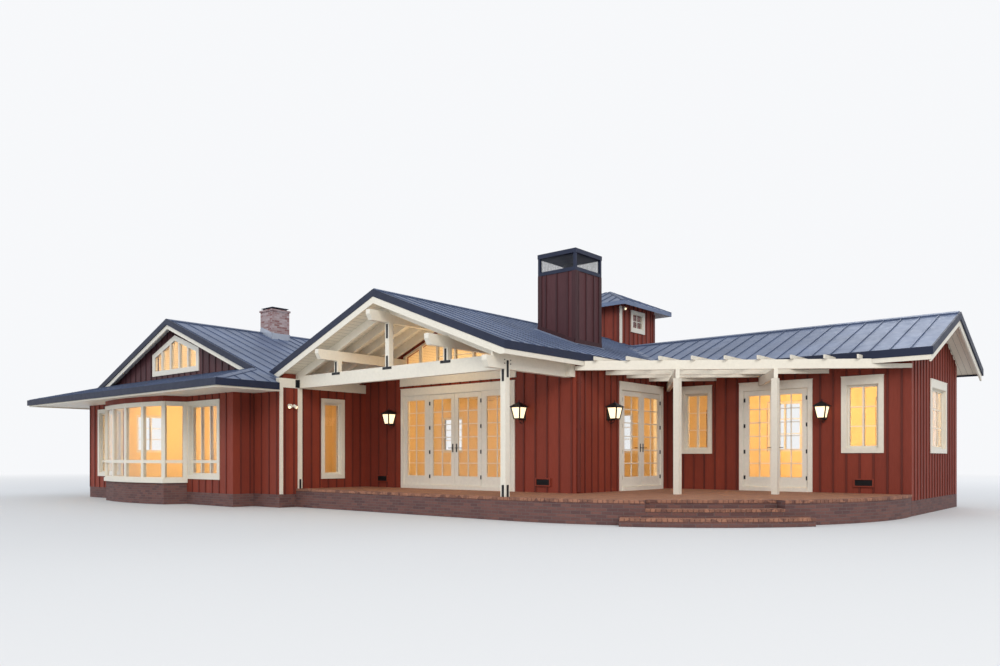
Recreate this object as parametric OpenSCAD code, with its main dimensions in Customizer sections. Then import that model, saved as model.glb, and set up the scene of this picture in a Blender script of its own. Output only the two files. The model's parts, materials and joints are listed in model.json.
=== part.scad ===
// Board and batten ranch house with an open truss porch, in millimetres.
// In plan, x runs along the fronts and y runs back; x = 0 is the pavilion's ridge
// and y = 0 the outer face of the wall behind the porch. z = 0 is the ground.

/* [Levels] */
// Top of the foundation wall, where the siding starts
foundation_h = 355; // [250:5:400]
// Top of the brick terrace
terrace_h = 495; // [420:5:540]
// Top of the finished floor
floor_h = 555; // [545:5:620]
// Top of every door and window opening in the walls
opening_top = 3100; // [3000:10:3140]

/* [Walls] */
// Thickness of the outside walls
wall_t = 200; // [140:5:260]
// Thickness of the tower's and the gable's walls
light_wall_t = 150; // [100:5:200]
// Thickness of the wooden ground floor
floor_t = 200; // [120:5:240]
// Width of the ledge inside the foundation wall that carries the floor
ledge_w = 150; // [80:10:250]

/* [Pavilion and porch] */
// Half the width of the pavilion's roof
pavilion_half_w = 4120; // [4000:10:4300]
// Half the width of the pavilion between its outer wall faces
pavilion_wall_half_w = 3920; // [3860:5:3960]
// Height of the pavilion's and the right wing's roof surface at the eaves
main_eave_h = 3760; // [3700:10:3860]
// Rise of the pavilion's and the right wing's roofs per metre
main_pitch = 390; // [360:5:420]
// Depth of the porch from the roof's front edge to the wall behind it
porch_roof_d = 2850; // [2700:10:3000]
// Depth of the pavilion behind the porch
pavilion_d = 11960; // [11000:20:13000]
// Distance from the wall behind the porch to the middle of its posts
porch_post_d = 2320; // [2200:10:2400]
// Distance from the ridge line to the middle of each porch post
porch_post_x = 3690; // [3640:5:3720]

/* [Left wing] */
// Distance of the left wing's ridge from the pavilion's ridge
left_wing_x = 9370; // [9200:10:9600]
// Width of the left wing's front wall
left_wing_w = 9010; // [8800:10:9100]
// How far the left wing's front wall stands in front of the porch wall
left_wing_front = 3610; // [3500:10:3700]
// How far the short link wall stands in front of the porch wall
link_front = 2970; // [2940:10:3100]
// Distance from the porch wall back to the left wing's rear wall
left_wing_back = 6760; // [6000:20:8000]
// Half the width of the left wing's roof
left_roof_half_w = 6080; // [6040:10:6150]
// Height of the left wing's roof surface at the eaves
left_eave_h = 3300; // [3260:10:3340]
// Rise of the left wing's roof per metre
left_pitch = 386; // [360:2:390]
// Overhang of the left wing's roof in front of its wall
left_overhang = 1430; // [1200:10:1500]
// How far the gable's barge edge stands behind the front eave
gable_setback = 1880; // [1700:10:1900]
// Rise of the skirt roof below the gable per metre
skirt_pitch = 260; // [240:5:280]

/* [Right wing] */
// Distance from the porch wall to the right wing's front wall
right_wing_front = 4460; // [4400:10:4600]
// Length of the right wing beyond the pavilion's side wall
right_wing_l = 6170; // [6000:10:6600]
// Depth of the right wing between its outer wall faces
right_wing_d = 4900; // [4700:10:5100]
// Overhang of the right wing's roof at its eaves and its end
right_overhang = 550; // [400:10:600]

/* [Roofs] */
// Thickness of the roof deck with its metal covering, measured upright
roof_t = 130; // [100:5:160]
// Thickness of the pavilion's deeper roof deck, measured upright
pavilion_roof_t = 270; // [240:5:290]
// Height of the dark metal edge along the eaves and rakes
fascia_h = 165; // [140:5:200]
// Thickness of the metal edge and of the pale board below it
fascia_t = 40; // [25:5:60]
// Height of the pale board below the metal edge
rake_board_h = 160; // [120:5:180]
// Distance of the left wing's soffit below its roof surface at the eaves
soffit_drop = 170; // [150:5:185]
// Thickness of the soffit boards
soffit_t = 20; // [15:1:30]

/* [Porch timbers] */
// Side of the square porch and pergola posts
post_w = 140; // [120:5:160]
// Distance of the tie beam's underside below the roof surface at the eaves
beam_drop = 526; // [510:2:550]
// Height of the plate beams, the purlins and the ridge beam
beam_h = 250; // [220:2:270]
// Height of the tie beam across the porch
tie_beam_h = 331; // [310:1:350]
// Distance of the purlins from the ridge line
purlin_x = 1980; // [1800:10:2200]
// How far the beams' nosed tails stand in front of the posts
beam_tail = 680; // [600:10:740]
// Width of the exposed rafters
rafter_w = 90; // [70:5:110]
// Height of the exposed rafters, measured upright
rafter_h = 220; // [190:5:240]
// Number of pairs of exposed rafters over the porch
rafter_pairs = 5; // [4:1:7]
// Thickness of the black iron straps
strap_t = 8; // [5:1:12]
// Width of the black iron straps
strap_w = 60; // [50:2:80]

/* [Bow window] */
// Half the width of the bow where it leaves the wall
bow_half_w = 2080; // [1900:10:2200]
// How far the bow's middle stands in front of the wall
bow_d = 860; // [700:10:950]
// Underside of the window band in the left wing's front
low_sill_h = 730; // [650:5:800]
// Top of the window band in the left wing's front
low_head_h = 2970; // [2900:5:3000]
// Width of the bow's upright posts
bow_post_w = 110; // [80:5:130]

/* [Doors] */
// Width of each door leaf of the porch, with its two fixed leaves
porch_leaf_w = 940; // [900:5:960]
// Width of each door leaf in the pavilion's side wall
side_leaf_w = 980; // [900:5:1000]
// Width of each door leaf in the right wing
wing_leaf_w = 800; // [700:5:840]
// Thickness of the door leaves
leaf_t = 45; // [38:1:55]
// Width of the stiles and the top rail of a leaf
stile_w = 125; // [100:5:150]
// Height of the bottom rail of a leaf
bottom_rail_h = 250; // [180:5:320]
// Thickness of the panes of glass
glass_t = 12; // [8:1:20]
// Gap round a door leaf
leaf_gap = 6; // [5.5:0.5:9]
// Gap between the two leaves of a pair
meeting_gap = 9; // [9:0.5:14]
// Thickness of the door and window frames
frame_w = 40; // [30:1:50]
// Height of the door sill
sill_h = 40; // [25:1:55]
// Width of the flat casings round doors and windows
casing_w = 115; // [90:5:130]
// Thickness of the flat casings
casing_t = 28; // [20:1:35]
// Height of the head casing
head_casing_h = 190; // [140:5:215]
// Height of the drip strip on a head casing
crown_h = 20; // [12:1:40]

/* [Chimneys and tower] */
// Width of the board and batten chimney
chase_w = 1195; // [1000:5:1300]
// Height of the board and batten chimney's top plate
chase_top_h = 6835; // [6600:5:7000]
// Height of the open cage under the top plate
cage_h = 370; // [300:5:420]
// Width of the brick chimney
brick_chimney_w = 690; // [600:5:760]
// Height of the brick chimney
brick_chimney_h = 6400; // [6200:5:6600]
// Width of the tower
tower_w = 2300; // [2100:10:2500]
// Height of the tower's walls
tower_wall_h = 6450; // [6350:10:6600]
// Overhang of the tower's roof
tower_overhang = 450; // [350:10:550]
// Height of the tower's roof peak
tower_top_h = 7250; // [7100:10:7400]

/* [Pergola and terrace] */
// Distance of the pergola beams' underside below the roof surface at the eaves
pergola_drop = 590; // [560:5:630]
// Height of the pergola's girders and joists
pergola_beam_h = 215; // [190:5:225]
// Height of the pergola's top rafters
pergola_rafter_h = 90; // [70:5:100]
// Radius of the terrace's round edge
terrace_r = 6350; // [6300:5:6420]
// Distance of the terrace's front edge from the porch wall
terrace_front = 2440; // [2430:5:2560]
// Number of the steps' risers
riser_count = 3; // [3:1:4]
// Depth of a step's tread
tread_d = 300; // [260:10:320]

/* [Hidden] */

wood_red = "#7a2a20";
trim_white = "#efe6d2";
metal_blue = "#5b6f96";
metal_dark = "#2b3448";
brick_brown = "#7d5348";
iron_black = "#1b1b1d";
glass_blue = "#b9c9d6";

// Rise over run of the roofs
main_slope = main_pitch / 1000;
left_slope = left_pitch / 1000;

// Places of the walls' outer faces
left_wing_right = -left_wing_x + left_wing_w / 2;
left_wing_left = -left_wing_x - left_wing_w / 2;
porch_left = -porch_post_x + post_w / 2 - 20;
right_wing_back = right_wing_front + right_wing_d;
right_wing_end = pavilion_wall_half_w + right_wing_l;

// Lines of the roofs and the beams
beam_z = main_eave_h - beam_drop;
pergola_z = main_eave_h - pergola_drop;
soffit_h = left_eave_h - soffit_drop;
main_ridge_h = main_eave_h + pavilion_half_w * main_slope;
left_ridge_h = left_eave_h + left_roof_half_w * left_slope;
left_eave_front = -left_wing_front - left_overhang;
gable_y = left_eave_front + gable_setback;
gable_wall_depth = 270;
skirt_rise = skirt_pitch / 1000;
gable_wall_y = gable_y + gable_wall_depth;
right_eave_y = right_wing_front - right_overhang;
right_ridge_y = right_wing_front + right_wing_d / 2;
right_ridge_h = main_eave_h + (right_ridge_y - right_eave_y) * main_slope;
roof_end_x = right_wing_end + right_overhang;
left_back_overhang = 450;
left_roof_back = left_wing_back + left_back_overhang;
pavilion_roof_back = pavilion_d + right_overhang;
valley_x = (left_ridge_h - left_slope * left_wing_x - main_ridge_h) / (main_slope + left_slope);
high = 9000;

// Middle of the whole house in plan, where the origin lies
mid_x = (roof_end_x - left_wing_x - left_roof_half_w) / 2;
mid_y = (pavilion_roof_back + left_eave_front) / 2;

module placed() translate([-mid_x, -mid_y, 0]) children();

// Outer outline of the walls, counterclockwise from the left wing's front
outline = [
    [left_wing_left, -left_wing_front], [left_wing_right, -left_wing_front],
    [left_wing_right, -link_front], [porch_left, -link_front], [porch_left, 0],
    [pavilion_wall_half_w, 0], [pavilion_wall_half_w, right_wing_front],
    [right_wing_end, right_wing_front], [right_wing_end, right_wing_back],
    [pavilion_wall_half_w, right_wing_back], [pavilion_wall_half_w, pavilion_d],
    [-pavilion_wall_half_w, pavilion_d], [-pavilion_wall_half_w, left_wing_back],
    [left_wing_left, left_wing_back],
];

function unit(v) = v / norm(v);
function left_of(v) = [-v.y, v.x];
// An outline of square corners moved inwards by d
function inset(points, d) = [
    for (i = [0:len(points) - 1])
        let (before = points[(i + len(points) - 1) % len(points)], here = points[i],
             after = points[(i + 1) % len(points)])
            here + d * (left_of(unit(here - before)) + left_of(unit(after - here)))
];

module block(low, high_corner) translate(low) cube(high_corner - low);

// A child drawn with y upwards becomes a section along x or along y
module along_y(y0, y1) translate([0, y1, 0]) rotate([90, 0, 0]) linear_extrude(y1 - y0) children();
module along_x(x0, x1) translate([x0, 0, 0]) rotate([90, 0, 90]) linear_extrude(x1 - x0) children();

// Space under a roof's lower side, for the walls' tops
module under_pavilion_roof(drop = pavilion_roof_t)
    along_y(-porch_roof_d - 1, pavilion_roof_back + 1)
        polygon([[-high, -1], [high, -1], [high, main_ridge_h - high * main_slope - drop],
                 [0, main_ridge_h - drop], [-high, main_ridge_h - high * main_slope - drop]]);

module under_left_roof(drop = roof_t)
    translate([-left_wing_x, 0, 0]) along_y(left_eave_front - 1, left_roof_back + 1)
        polygon([[-high, -1], [high, -1], [high, left_ridge_h - high * left_slope - drop],
                 [0, left_ridge_h - drop], [-high, left_ridge_h - high * left_slope - drop]]);

module under_skirt_roof(drop = roof_t)
    along_x(left_wing_left - left_roof_half_w, 0)
        polygon([[left_eave_front, -1], [high, -1],
                 [high, left_eave_h + (high - left_eave_front) * skirt_rise - drop],
                 [left_eave_front, left_eave_h - drop]]);

module under_right_roof(drop = roof_t)
    along_x(-high, roof_end_x + 1)
        polygon([[right_ridge_y - high, -1], [right_ridge_y + high, -1],
                 [right_ridge_y + high, right_ridge_h - high * main_slope - drop],
                 [right_ridge_y, right_ridge_h - drop],
                 [right_ridge_y - high, right_ridge_h - high * main_slope - drop]]);

// Doors: leaf heights, openings and their middles
reveal = 12;
casing_lap = frame_w - reveal;
door_head = opening_top - frame_w;
leaf_bottom = floor_h + sill_h + leaf_gap;
leaf_h = door_head - leaf_gap - leaf_bottom;
knuckle_r = 8;
knuckle_h = 100;
knuckles = 4;
mullion_w = 60;
function pair_w(leaf) = 2 * leaf + 2 * leaf_gap + meeting_gap;
function frame_outer_w(leaf) = pair_w(leaf) + 2 * frame_w;
porch_unit_w = pair_w(porch_leaf_w) + 2 * mullion_w + 2 * porch_leaf_w + 2 * frame_w;
side_door_y = 3025;
wing_door_x = 6930;

// Windows: [turn, x, y, width, sill, head, lights, rail height, crown]
porch_window_sill = 837;
porch_window_head = 2923;
window_from_door = [-1304, 1244];
function wing_window_x(s) =
    wing_door_x + s * frame_outer_w(wing_leaf_w) / 2 + window_from_door[s < 0 ? 0 : 1];
plain_w = 736;
plain_sill = 1537;
lantern_z = 2200;
low_sill = low_sill_h + casing_w - casing_lap;
low_head = low_head_h - casing_w + casing_lap;
flat_window_w = 1546;
bow_side_gap = 40;
flat_window_x = bow_half_w + bow_side_gap + casing_w - casing_lap + flat_window_w / 2;
rail_z = 1230;
rear_w = 1100;
porch_window_w = 646;
porch_window_y = -1200;
end_window_w = 1606;
end_window_shift = 200;
left_wing_mid_y = (left_wing_back - left_wing_front) / 2;
left_wing_d = left_wing_back + left_wing_front;
right_wing_mid_x = pavilion_wall_half_w + right_wing_l / 2;
left_front_windows = [for (s = [-1, 1])
    [0, -left_wing_x + s * flat_window_x, -left_wing_front, flat_window_w, low_sill, low_head, 3, rail_z, 0]];
left_side_windows = [for (k = [-1:1])
    [-90, left_wing_left, left_wing_mid_y + k * left_wing_d * 0.3, rear_w, plain_sill, low_head, 2, 0, 0]];
left_back_windows = [for (k = [-1:1])
    [180, -left_wing_x + k * left_wing_w / 3, left_wing_back, rear_w, plain_sill, low_head, 2, 0, 0]];
porch_left_windows = [[90, porch_left, porch_window_y, porch_window_w, porch_window_sill, porch_window_head, 1, 0, 0]];
wing_left_windows = [[0, wing_window_x(-1), right_wing_front, plain_w, plain_sill, opening_top, 2, 0, 1]];
wing_right_windows = [[0, wing_window_x(1), right_wing_front, plain_w + 40, plain_sill, opening_top, 2, 0, 1]];
wing_end_windows = [[90, right_wing_end, right_ridge_y + end_window_shift, end_window_w, plain_sill, opening_top, 3, 0, 1]];
wing_back_windows = [for (s = [-1, 1])
    [180, right_wing_mid_x + s * right_wing_l * 0.26, right_wing_back, rear_w, plain_sill, opening_top, 2, 0, 1]];
pavilion_back_windows = [for (k = [-1:1])
    [180, k * pavilion_wall_half_w * 0.535, pavilion_d, rear_w, plain_sill, opening_top, 2, 0, 1]];
pavilion_left_windows = [[-90, -pavilion_wall_half_w, (left_wing_back + pavilion_d) / 2,
                          rear_w, plain_sill, opening_top, 2, 0, 1]];
all_windows = concat(left_front_windows, left_side_windows, left_back_windows, porch_left_windows,
    wing_left_windows, wing_right_windows, wing_end_windows, wing_back_windows,
    pavilion_back_windows, pavilion_left_windows);

// A wall's own place: x along the wall, y into it, with its outer face at y = 0
module on_face(turn, x, y) translate([x, y, 0]) rotate([0, 0, turn]) children();

module window_hole(v)
    on_face(v[0], v[1], v[2]) block([-v[3] / 2, -1, v[4]], [v[3] / 2, wall_t + 1, v[5]]);

module window_holes(list) for (v = list) window_hole(v);

module wall(low, high_corner, windows = [])
    difference() {
        block(low, high_corner);
        window_holes(windows);
    }

// Foundation and floor
module foundation()
    placed() color(brick_brown) linear_extrude(foundation_h) difference() {
        polygon(outline);
        polygon(inset(outline, wall_t + ledge_w));
    }

module floor()
    placed() color("#a98c63") translate([0, 0, floor_h - floor_t])
        linear_extrude(floor_t) polygon(inset(outline, wall_t));

// Left wing walls
module under_left_front() intersection() {
    under_left_roof();
    union() {
        under_skirt_roof();
        block([-2 * high, gable_wall_y + light_wall_t, 0], [0, high, high]);
    }
}

module left_wing_front_wall()
    placed() color(wood_red) {
        intersection() {
            difference() {
                wall([left_wing_left, -left_wing_front, foundation_h],
                     [left_wing_right, wall_t - left_wing_front, high], left_front_windows);
                block([-left_wing_x - bow_half_w, -left_wing_front - 1, low_sill_h],
                      [-left_wing_x + bow_half_w, wall_t + 1 - left_wing_front, low_head_h]);
            }
            under_left_front();
        }
        bow_header();
    }

module left_wing_side_wall()
    placed() color(wood_red) intersection() {
        wall([left_wing_left, wall_t - left_wing_front, foundation_h],
             [left_wing_left + wall_t, left_wing_back - wall_t, high], left_side_windows);
        under_left_front();
    }

module left_wing_back_wall()
    placed() color(wood_red) intersection() {
        wall([left_wing_left, left_wing_back - wall_t, foundation_h],
             [-pavilion_wall_half_w, left_wing_back, high], left_back_windows);
        union() {
            difference() {
                under_left_roof();
                block([valley_x, -high, -1], [high, high, high]);
            }
            intersection() {
                under_pavilion_roof();
                block([valley_x, -high, 0], [0, high, high]);
            }
        }
    }

// The gable over the skirt roof, with its five sided window
gable_window_half_w = 1352;
gable_window_low = left_ridge_h - 1562;
gable_window_side = left_ridge_h - 1030;
gable_window_top = left_ridge_h - 549;
gable_lights = 5;
function gable_pentagon(grow) =
    let (w = gable_window_half_w + grow, rise = (gable_window_top - gable_window_side) / gable_window_half_w)
        [[-w, gable_window_low - grow], [w, gable_window_low - grow],
         [w, gable_window_side - grow * rise + grow * norm([1, rise])],
         [0, gable_window_top + grow * norm([1, rise])],
         [-w, gable_window_side - grow * rise + grow * norm([1, rise])]];

module left_wing_gable_wall()
    placed() color(wood_red) intersection() {
        difference() {
            block([left_wing_left, gable_wall_y, 0], [left_wing_right + wall_t, gable_wall_y + light_wall_t, high]);
            under_skirt_roof(0);
            translate([-left_wing_x, 0, 0]) along_y(gable_wall_y - 1, gable_wall_y + light_wall_t + 1)
                polygon(gable_pentagon(0));
        }
        under_left_roof();
    }

// The short return, the link wall beside the porch and the porch's left wall
rake_foot_h = main_eave_h - fascia_h - rake_board_h;
module link_wall()
    placed() color(wood_red) intersection() {
        difference() {
            union() {
                block([left_wing_right - wall_t, wall_t - left_wing_front, foundation_h],
                      [left_wing_right, wall_t - link_front, high]);
                block([left_wing_right - wall_t, -link_front, foundation_h],
                      [porch_left, wall_t - link_front, high]);
            }
            block([-porch_post_x - post_w / 2, -link_front - 1, beam_z], [0, wall_t + 1 - link_front, high]);
            along_y(-high, deck_front + trim) intersection() {
                polygon([[-high, high], [-high, rake_foot_h + (pavilion_half_w - high) * main_slope],
                         [0, rake_foot_h + pavilion_half_w * main_slope], [0, high]]);
                translate([valley_x, 0]) square([-valley_x, high]);
            }
        }
        under_left_front();
    }

module porch_left_wall()
    placed() color(wood_red) {
        difference() {
            wall([porch_left - wall_t, wall_t - link_front, foundation_h], [porch_left, 0, beam_z], porch_left_windows);
            porch_post_blocks(0);
        }
        intersection() {
            block([porch_left - wall_t, wall_t - link_front, beam_z], [-porch_post_x - post_w / 2, 0, high]);
            under_pavilion_roof();
        }
    }

module porch_wall_left()
    placed() color(wood_red)
        wall([porch_left - wall_t, 0, foundation_h], [-porch_unit_w / 2, wall_t, opening_top]);

module porch_wall_right()
    placed() color(wood_red)
        wall([porch_unit_w / 2, 0, foundation_h], [pavilion_wall_half_w, wall_t, opening_top]);

clerestory_half_w = 2000;
clerestory_low = main_eave_h - 140;
clerestory_drop = 400;
module clerestory_outline(grow = 0)
    polygon([[-clerestory_half_w - grow, clerestory_low - grow], [clerestory_half_w + grow, clerestory_low - grow],
             [clerestory_half_w + grow, main_ridge_h - clerestory_drop - clerestory_half_w * main_slope],
             [0, main_ridge_h - clerestory_drop + grow],
             [-clerestory_half_w - grow, main_ridge_h - clerestory_drop - clerestory_half_w * main_slope]]);

module porch_gable_wall()
    placed() color(wood_red) intersection() {
        difference() {
            block([porch_left - wall_t, 0, opening_top], [pavilion_wall_half_w, wall_t, high]);
            along_y(-1, wall_t + 1) clerestory_outline();
        }
        under_pavilion_roof();
    }

// Walls of the inside corner and the right wing
side_door_w = frame_outer_w(side_leaf_w);
wing_door_w = frame_outer_w(wing_leaf_w);
inner_x = pavilion_wall_half_w - wall_t;

module side_wall_front()
    placed() color(wood_red) intersection() {
        wall([inner_x, wall_t, foundation_h], [pavilion_wall_half_w, side_door_y - side_door_w / 2, high]);
        under_pavilion_roof();
    }

module side_wall_back()
    placed() color(wood_red) intersection() {
        wall([inner_x, side_door_y + side_door_w / 2, foundation_h],
             [pavilion_wall_half_w, right_wing_front + wall_t, high]);
        under_right_corner();
    }

module door_header_walls()
    placed() color(wood_red) {
        intersection() {
            block([inner_x, side_door_y - side_door_w / 2, opening_top],
                  [pavilion_wall_half_w, side_door_y + side_door_w / 2, high]);
            under_pavilion_roof();
        }
        intersection() {
            block([wing_door_x - wing_door_w / 2, right_wing_front, opening_top],
                  [wing_door_x + wing_door_w / 2, right_wing_front + wall_t, high]);
            under_right_roof();
        }
    }

module right_wing_wall_left()
    placed() color(wood_red) intersection() {
        wall([pavilion_wall_half_w, right_wing_front, foundation_h],
             [wing_door_x - wing_door_w / 2, right_wing_front + wall_t, high], wing_left_windows);
        under_right_roof();
    }

module right_wing_wall_right()
    placed() color(wood_red) intersection() {
        wall([wing_door_x + wing_door_w / 2, right_wing_front, foundation_h],
             [right_wing_end, right_wing_front + wall_t, high], wing_right_windows);
        under_right_roof();
    }

module right_wing_end_wall()
    placed() color(wood_red) intersection() {
        wall([right_wing_end - wall_t, right_wing_front + wall_t, foundation_h],
             [right_wing_end, right_wing_back - wall_t, high], wing_end_windows);
        under_right_roof();
    }

module right_wing_back_wall()
    placed() color(wood_red) intersection() {
        wall([pavilion_wall_half_w, right_wing_back - wall_t, foundation_h],
             [right_wing_end, right_wing_back, high], wing_back_windows);
        under_right_roof();
    }

module pavilion_left_wall()
    placed() color(wood_red) intersection() {
        wall([-pavilion_wall_half_w, left_wing_back - wall_t, foundation_h],
             [-inner_x, pavilion_d - wall_t, high], pavilion_left_windows);
        under_pavilion_roof();
    }

module pavilion_back_wall()
    placed() color(wood_red) intersection() {
        wall([-pavilion_wall_half_w, pavilion_d - wall_t, foundation_h],
             [pavilion_wall_half_w, pavilion_d, high], pavilion_back_windows);
        under_pavilion_roof();
    }

module pavilion_right_wall()
    placed() color(wood_red) intersection() {
        wall([inner_x, right_wing_back - wall_t, foundation_h], [pavilion_wall_half_w, pavilion_d - wall_t, high]);
        under_right_corner();
    }

// Roof slopes: a section across the ridge, run along it and trimmed in plan
trim = fascia_t;
deck_front = -porch_roof_d + trim;
deck_back = pavilion_roof_back - trim;
deck_end = roof_end_x - trim;
left_deck_half_w = left_roof_half_w - trim;
left_deck_front = left_eave_front + trim;
left_deck_back = left_roof_back - trim;
left_stop_y = -porch_roof_d - 350;

module slope_section(run, slope, ridge, thickness)
    polygon([[0, ridge], [0, ridge - thickness], [run, ridge - run * slope - thickness], [run, ridge - run * slope]]);

module trimmed(points)
    intersection() {
        children();
        linear_extrude(high) polygon(points);
    }

// Wedge of the right wing's roof that runs into the pavilion's right slope
valley_wedge = [
    [pavilion_half_w, right_eave_y], [pavilion_half_w + high, right_eave_y],
    [pavilion_half_w + high, 2 * right_ridge_y - right_eave_y],
    [pavilion_half_w, 2 * right_ridge_y - right_eave_y],
    [pavilion_half_w - (right_ridge_y - right_eave_y), right_ridge_y],
];

module under_right_corner()
    union() {
        difference() {
            under_pavilion_roof();
            linear_extrude(high) polygon(valley_wedge);
        }
        intersection() {
            under_right_roof();
            linear_extrude(high) polygon(valley_wedge);
        }
    }

module pavilion_roof_right()
    placed() color(metal_blue) difference() {
        along_y(deck_front, deck_back)
            slope_section(pavilion_half_w - trim, main_slope, main_ridge_h, pavilion_roof_t);
        linear_extrude(high) polygon(valley_wedge);
    }

module pavilion_roof_left()
    placed() color(metal_blue) difference() {
        along_y(deck_front, deck_back) mirror([1, 0])
            slope_section(high, main_slope, main_ridge_h, pavilion_roof_t);
        block([-high - 1, -high, 0], [valley_x, 2 * high, high]);
        block([valley_x - 1, left_deck_back, 0], [trim - pavilion_half_w, high * 2, high]);
    }

module right_slope(front)
    intersection() {
        along_x(0, deck_end) translate([right_ridge_y, 0]) mirror([front, 0])
            slope_section(right_ridge_y - right_eave_y - trim, main_slope, right_ridge_h, roof_t);
        linear_extrude(high) polygon(valley_wedge);
    }

module right_wing_roof_front() placed() color(metal_blue) right_slope(1);
module right_wing_roof_back() placed() color(metal_blue) right_slope(0);

// The left wing's slopes stop on the hips of the skirt roof
hip_run = gable_y - left_eave_front;
hip_half_w = left_roof_half_w - hip_run * skirt_rise / left_slope;

module left_wing_roof_left()
    placed() color(metal_blue) translate([-left_wing_x, 0, 0])
        trimmed([[0, gable_y], [-hip_half_w, gable_y], [-left_deck_half_w, left_deck_front],
                 [-left_deck_half_w, left_deck_back], [0, left_deck_back]])
            along_y(left_deck_front, left_deck_back) mirror([1, 0])
                slope_section(left_deck_half_w, left_slope, left_ridge_h, roof_t);

tail_side_x = -porch_post_x - post_w / 2 - 40;

module left_wing_roof_right()
    placed() color(metal_blue) translate([-left_wing_x, 0, 0])
        trimmed([[0, gable_y], [hip_half_w, gable_y], [left_deck_half_w, left_deck_front],
                 [left_deck_half_w, left_stop_y], [left_wing_x + tail_side_x, left_stop_y],
                 [left_wing_x + tail_side_x, -porch_roof_d], [left_wing_x + valley_x, -porch_roof_d],
                 [left_wing_x + valley_x, left_deck_back], [0, left_deck_back]])
            along_y(left_deck_front, left_deck_back)
                slope_section(left_deck_half_w, left_slope, left_ridge_h, roof_t);

module left_wing_skirt_roof()
    placed() color(metal_blue) difference() {
        skirt_slope();
        difference() {
            block([-2 * high, gable_y, 0], [0, gable_wall_y + 1, high]);
            under_left_roof();
        }
    }

module skirt_slope()
    translate([-left_wing_x, 0, 0])
        trimmed([[-left_deck_half_w, left_deck_front], [left_deck_half_w, left_deck_front],
                 [hip_half_w, gable_y], [hip_half_w, gable_wall_y], [-hip_half_w, gable_wall_y],
                 [-hip_half_w, gable_y]])
            along_x(-left_deck_half_w, left_deck_half_w)
                polygon([[left_eave_front, left_eave_h], [left_eave_front, left_eave_h - roof_t],
                         [gable_wall_y, left_eave_h - roof_t + (gable_wall_y - left_eave_front) * skirt_rise],
                         [gable_wall_y, left_eave_h + (gable_wall_y - left_eave_front) * skirt_rise]]);

// Flat boards under the left wing's eaves
module left_wing_soffit()
    placed() color(trim_white) translate([0, 0, soffit_h]) linear_extrude(soffit_t)
        polygon([
            [-left_wing_x - left_deck_half_w, left_deck_front],
            [-left_wing_x + left_deck_half_w, left_deck_front],
            [-left_wing_x + left_deck_half_w, left_stop_y], [tail_side_x, left_stop_y],
            [tail_side_x, -link_front], [left_wing_right, -link_front], [left_wing_right, -left_wing_front],
            [left_wing_left, -left_wing_front], [left_wing_left, left_deck_back],
            [-left_wing_x - left_deck_half_w, left_deck_back],
        ]);

// Metal edges along the eaves and rakes
module eave_edge(top, low, high_corner)
    block([low.x, low.y, top - fascia_h], [high_corner.x, high_corner.y, top + 15]);

module rake_section(half_run, slope, ridge, top_lift, depth)
    difference() {
        polygon([[-half_run, 0], [half_run, 0], [half_run, ridge - half_run * slope + top_lift],
                 [0, ridge + top_lift], [-half_run, ridge - half_run * slope + top_lift]]);
        polygon([[-high, -1], [high, -1], [high, ridge - high * slope - depth],
                 [0, ridge - depth], [-high, ridge - high * slope - depth]]);
    }

module metal_fascias()
    placed() color(metal_dark) {
        along_y(-porch_roof_d, deck_front) intersection() {
            rake_section(high, main_slope, main_ridge_h, 15, fascia_h);
            translate([valley_x, 0]) square([pavilion_half_w - valley_x, high]);
        }
        along_y(deck_back, pavilion_roof_back)
            rake_section(pavilion_half_w, main_slope, main_ridge_h, 15, fascia_h);
        eave_edge(main_eave_h, [pavilion_half_w - trim, deck_front], [pavilion_half_w, right_eave_y]);
        eave_edge(main_eave_h, [pavilion_half_w - trim, 2 * right_ridge_y - right_eave_y],
                  [pavilion_half_w, deck_back]);
        eave_edge(main_eave_h, [-pavilion_half_w, left_roof_back], [trim - pavilion_half_w, deck_back]);
        eave_edge(main_eave_h, [pavilion_half_w - trim, right_eave_y], [deck_end, right_eave_y + trim]);
        eave_edge(main_eave_h, [pavilion_half_w - trim, 2 * right_ridge_y - right_eave_y - trim],
                  [deck_end, 2 * right_ridge_y - right_eave_y]);
        along_x(deck_end, roof_end_x) translate([right_ridge_y, 0])
            rake_section(right_ridge_y - right_eave_y, main_slope, right_ridge_h, 15, fascia_h);
        left_wing_edges();
        gable_edge();
    }

module left_wing_edges()
    translate([-left_wing_x, 0, 0]) {
        eave_edge(left_eave_h, [-left_roof_half_w, left_eave_front], [left_roof_half_w, left_deck_front]);
        eave_edge(left_eave_h, [-left_roof_half_w, left_deck_front], [-left_deck_half_w, left_roof_back]);
        eave_edge(left_eave_h, [left_deck_half_w, left_deck_front], [left_roof_half_w, left_stop_y]);
        intersection() {
            along_y(left_deck_back, left_roof_back)
                rake_section(left_roof_half_w, left_slope, left_ridge_h, 15, fascia_h);
            block([-high, 0, 0], [left_wing_x + valley_x, high, high]);
        }
    }

// The gable's barge edge, which lies on the side slopes at its two ends
module gable_edge()
    difference() {
        translate([-left_wing_x, 0, 0]) along_y(gable_y - trim, gable_y)
            rake_section(hip_half_w + 450, left_slope, left_ridge_h, 40, fascia_h - 25);
        under_skirt_roof(0);
        for (s = [-1, 1])
            intersection() {
                under_left_roof(0);
                translate([-left_wing_x + s * (hip_half_w + high / 2), 0, high / 2]) cube(high, center = true);
            }
    }

// Pale boards under the metal edges
gable_board_h = 111;
board_inset = 10;
eave_board_low = main_eave_h - pavilion_roof_t;

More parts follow.
